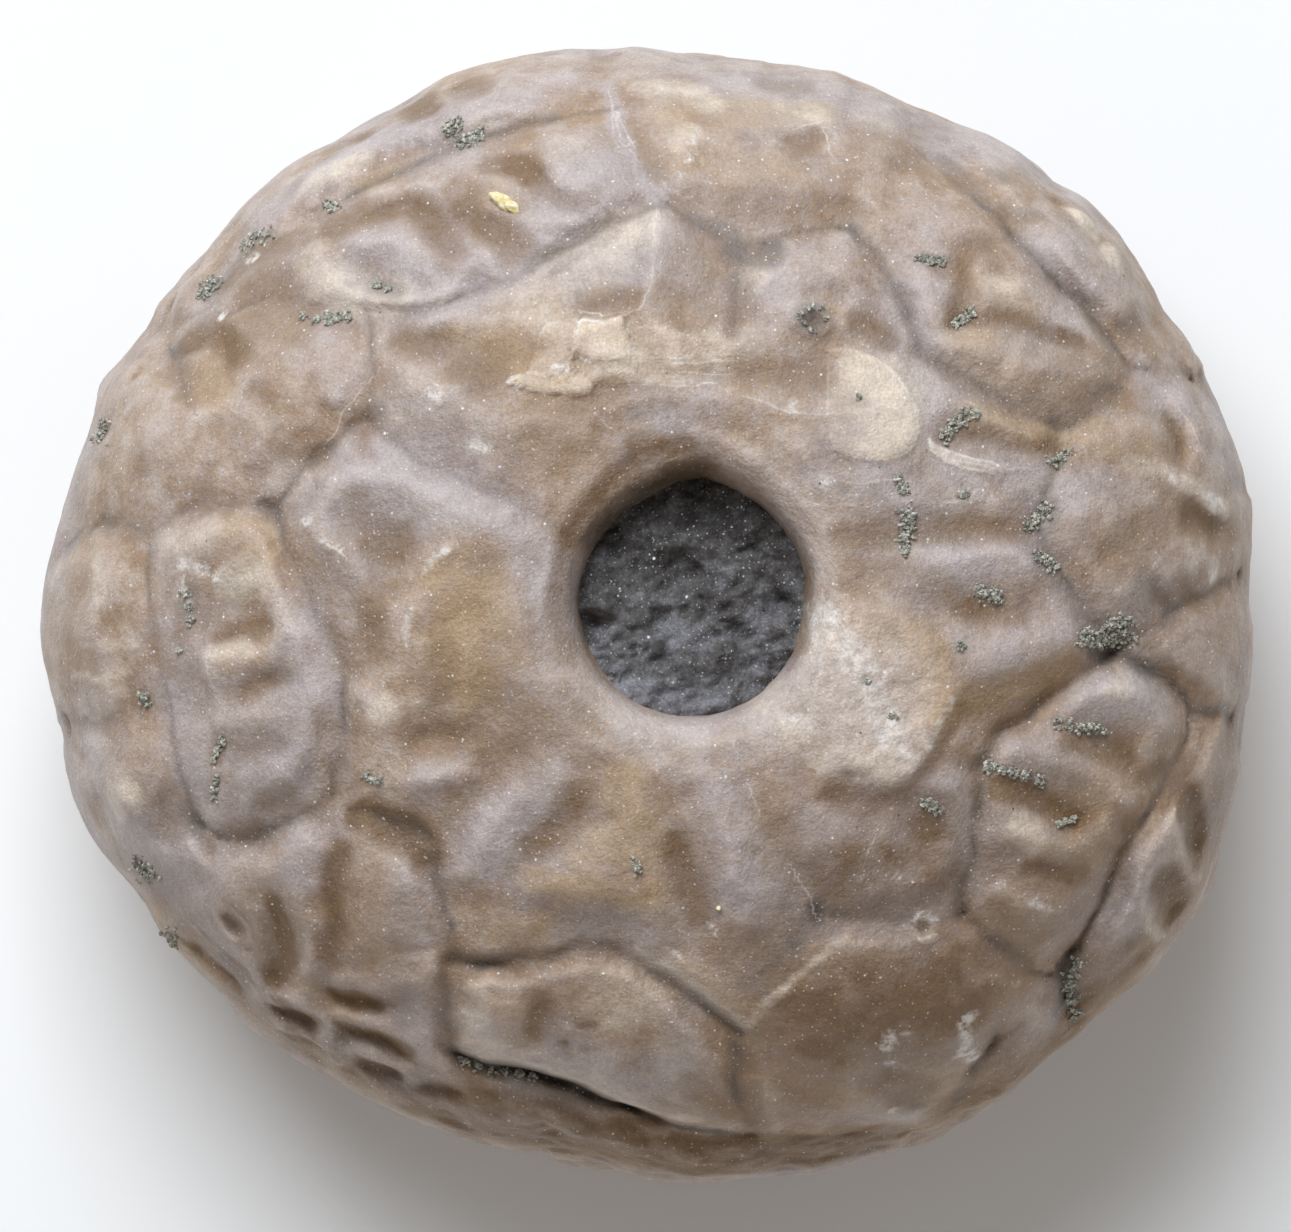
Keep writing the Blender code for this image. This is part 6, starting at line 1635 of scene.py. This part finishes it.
def pebble(subdivisions):
    """The points and faces of a round pebble, to be copied and roughened."""
    shape = bmesh.new()
    bmesh.ops.create_icosphere(shape, subdivisions=subdivisions, radius=1.0)
    points = [vert.co.copy() for vert in shape.verts]
    faces = np.array([[vert.index for vert in face.verts] for face in shape.faces])
    shape.free()
    return points, faces


def heap(name, grains, faces):
    """One piece made of many grains, which rides on the fossil."""
    count = len(grains[0])
    mesh = bpy.data.meshes.new(name)
    mesh.from_pydata(
        [point * MM for points in grains for point in points], [],
        np.concatenate([faces + i * count for i in range(len(grains))]).tolist(),
    )
    piece = bpy.data.objects.new(name, mesh)
    bpy.context.scene.collection.objects.link(piece)
    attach(piece, "root")
    return mesh


CLAY_LEFT = -0.28  # grains are kept where a noise is above this, so clusters are patchy
dice = random.Random(8)
crumb_points, crumb_faces = pebble(1)
clay_grains = []
for count, spread, course in GRAIN_CLUSTERS:
    path = rounded([(*point, 0.0) for point in course])
    for _ in range(5 * count):
        x, y, _ = path[dice.randrange(len(path))]
        x, y = x + dice.gauss(0, 0.55 * spread), y + dice.gauss(0, 0.55 * spread)
        point, normal = look_down(stone_tree, x, y)[:2]
        if point and noise.noise(point / 0.14) > CLAY_LEFT:
            size = dice.uniform(0.025, 0.065)
            middle = point + normal * dice.uniform(-0.02, 0.08)
            turn = Vector((0, 0, 1)).rotation_difference(Vector([dice.gauss(0, 1) for _ in range(3)]))
            stretch = Vector([dice.uniform(0.5, 1.5) for _ in range(3)])
            clay_grains.append([
                middle + turn @ (p * stretch * (1 + 0.6 * noise.noise(9 * (p + middle))) * size)
                for p in crumb_points
            ])
grain_mesh = heap("clay_grains", clay_grains, crumb_faces)

# Dried clay, green-grey and dull, with paler crumbs of lime in it.
clay, clay_shader = bare("dried_clay", 0.9, 0.2)
where = add(clay, "ShaderNodeTexCoord").outputs["Object"]
clay_patches = add(
    clay, "ShaderNodeTexNoise", {"Vector": where},
    {"Scale": PER_MM / 0.12, "Detail": 3.0, "Roughness": 0.7},
).outputs["Fac"]
clay_tones = add(clay, "ShaderNodeValToRGB", {"Fac": clay_patches})
clay_tones.color_ramp.elements[0].position = 0.35
clay_tones.color_ramp.elements[0].color = linear("#74736a")
clay_tones.color_ramp.elements[1].position = 0.68
clay_tones.color_ramp.elements[1].color = linear("#e6e3d4")
clay_tones.color_ramp.elements.new(0.52).color = linear("#a6a499")
clay.node_tree.links.new(clay_tones.outputs["Color"], clay_shader.inputs["Base Color"])
grain_mesh.materials.append(clay)

# --- The yellow crumb -------------------------------------------------------------------------
# One crumb of pale yellow lime, 0.85 mm long, lies in a hollow near the upper left edge. A
# speck of the same lime is stuck below the pit.
lump_points, lump_faces = pebble(3)
lime_lumps = []
LIME_LUMPS = [  # place, half length and half width
    (-3.74, 10.92, 0.36, 0.19), (-3.5, 10.78, 0.24, 0.15), (-4.0, 11.06, 0.13, 0.11),
    (1.95, -7.7, 0.06, 0.045),
]
for x, y, long, wide in LIME_LUMPS:
    point, normal = look_down(stone_tree, x, y)[:2]
    along = Vector((0.86, -0.51, 0.0))
    across = normal.cross(along)
    lime_lumps.append([
        point + (along * p.x * long + across * p.y * wide + normal * (p.z + 0.4) * 0.12)
        * (1 + 0.35 * noise.noise(1.5 * p + 9 * point) + 0.1 * noise.noise(5 * p))
        for p in lump_points
    ])
crumb_mesh = heap("lime_crumb", lime_lumps, lump_faces)
crumb_mesh.shade_smooth()

# Powdery lime: pale yellow, matt, a little deeper in colour where it is packed.
lime, lime_shader = bare("powdery_lime", 0.85, 0.2)
where = add(lime, "ShaderNodeTexCoord").outputs["Object"]
lime_patches = add(
    lime, "ShaderNodeTexNoise", {"Vector": where},
    {"Scale": PER_MM / 0.15, "Detail": 4.0, "Roughness": 0.7},
).outputs["Fac"]
lime_tone = add(
    lime, "ShaderNodeMapRange", {"Value": lime_patches}, {"From Min": 0.35, "From Max": 0.65}
).outputs["Result"]
lime_colour = add(
    lime, "ShaderNodeMix", {0: lime_tone}, {6: linear("#dfc779"), 7: linear("#fbf4dc")}, data_type="RGBA"
).outputs[2]
lime.node_tree.links.new(lime_colour, lime_shader.inputs["Base Color"])
lime_bump = add(lime, "ShaderNodeBump", {"Height": lime_patches}, {"Strength": 0.6, "Distance": 0.05 * MM})
lime.node_tree.links.new(lime_bump.outputs["Normal"], lime_shader.inputs["Normal"])
crumb_mesh.materials.append(lime)

# --- Floor, light and camera ------------------------------------------------------------------
# A plain pale floor, a wide soft light from the far side, and a camera straight above.
floor_shape = bmesh.new()
bmesh.ops.create_grid(floor_shape, x_segments=1, y_segments=1, size=1.0)
floor_mesh = bpy.data.meshes.new("floor")
floor_shape.to_mesh(floor_mesh)
floor_shape.free()
floor = bpy.data.objects.new("floor", floor_mesh)
bpy.context.scene.collection.objects.link(floor)
paper, paper_shader = bare("white_paper", 0.9, 0.5)
paper_shader.inputs["Base Color"].default_value = linear("#fbfbfb")
floor_mesh.materials.append(paper)

for name, place, size, power, colour in [
    ("window", (-0.09, 0.30, 0.36), 0.3, 2.42, (0.95, 1.0, 1.05)),
    ("fill", (0.05, -0.35, 0.30), 0.35, 0.18, (1.0, 0.84, 0.65)),
]:
    light = bpy.data.lights.new(name, "AREA")
    light.color = colour
    light.size = size
    light.energy = power
    lamp = bpy.data.objects.new(name, light)
    lamp.location = place
    lamp.rotation_euler = (-Vector(place)).to_track_quat("-Z", "Y").to_euler()
    bpy.context.scene.collection.objects.link(lamp)

room = bpy.data.worlds.new("room")
room.use_nodes = True
room.node_tree.nodes["Background"].inputs["Color"].default_value = (1.0, 1.0, 1.0, 1.0)
room.node_tree.nodes["Background"].inputs["Strength"].default_value = 0.24
bpy.context.scene.world = room

VIEW_WIDTH = 34.11  # how much the camera sees across at the height of the widest outline
camera_data = bpy.data.cameras.new("camera")
camera_data.sensor_width = 36.0
camera_data.lens = camera_data.sensor_width * (EYE_HEIGHT - WAIST_HEIGHT) / VIEW_WIDTH
camera_data.clip_start = 0.01
camera_data.clip_end = 10.0
camera = bpy.data.objects.new("camera", camera_data)
camera.location = (0.0, 0.0, EYE_HEIGHT * MM)
bpy.context.scene.collection.objects.link(camera)
bpy.context.scene.camera = camera
bpy.context.scene.view_settings.view_transform = "Standard"
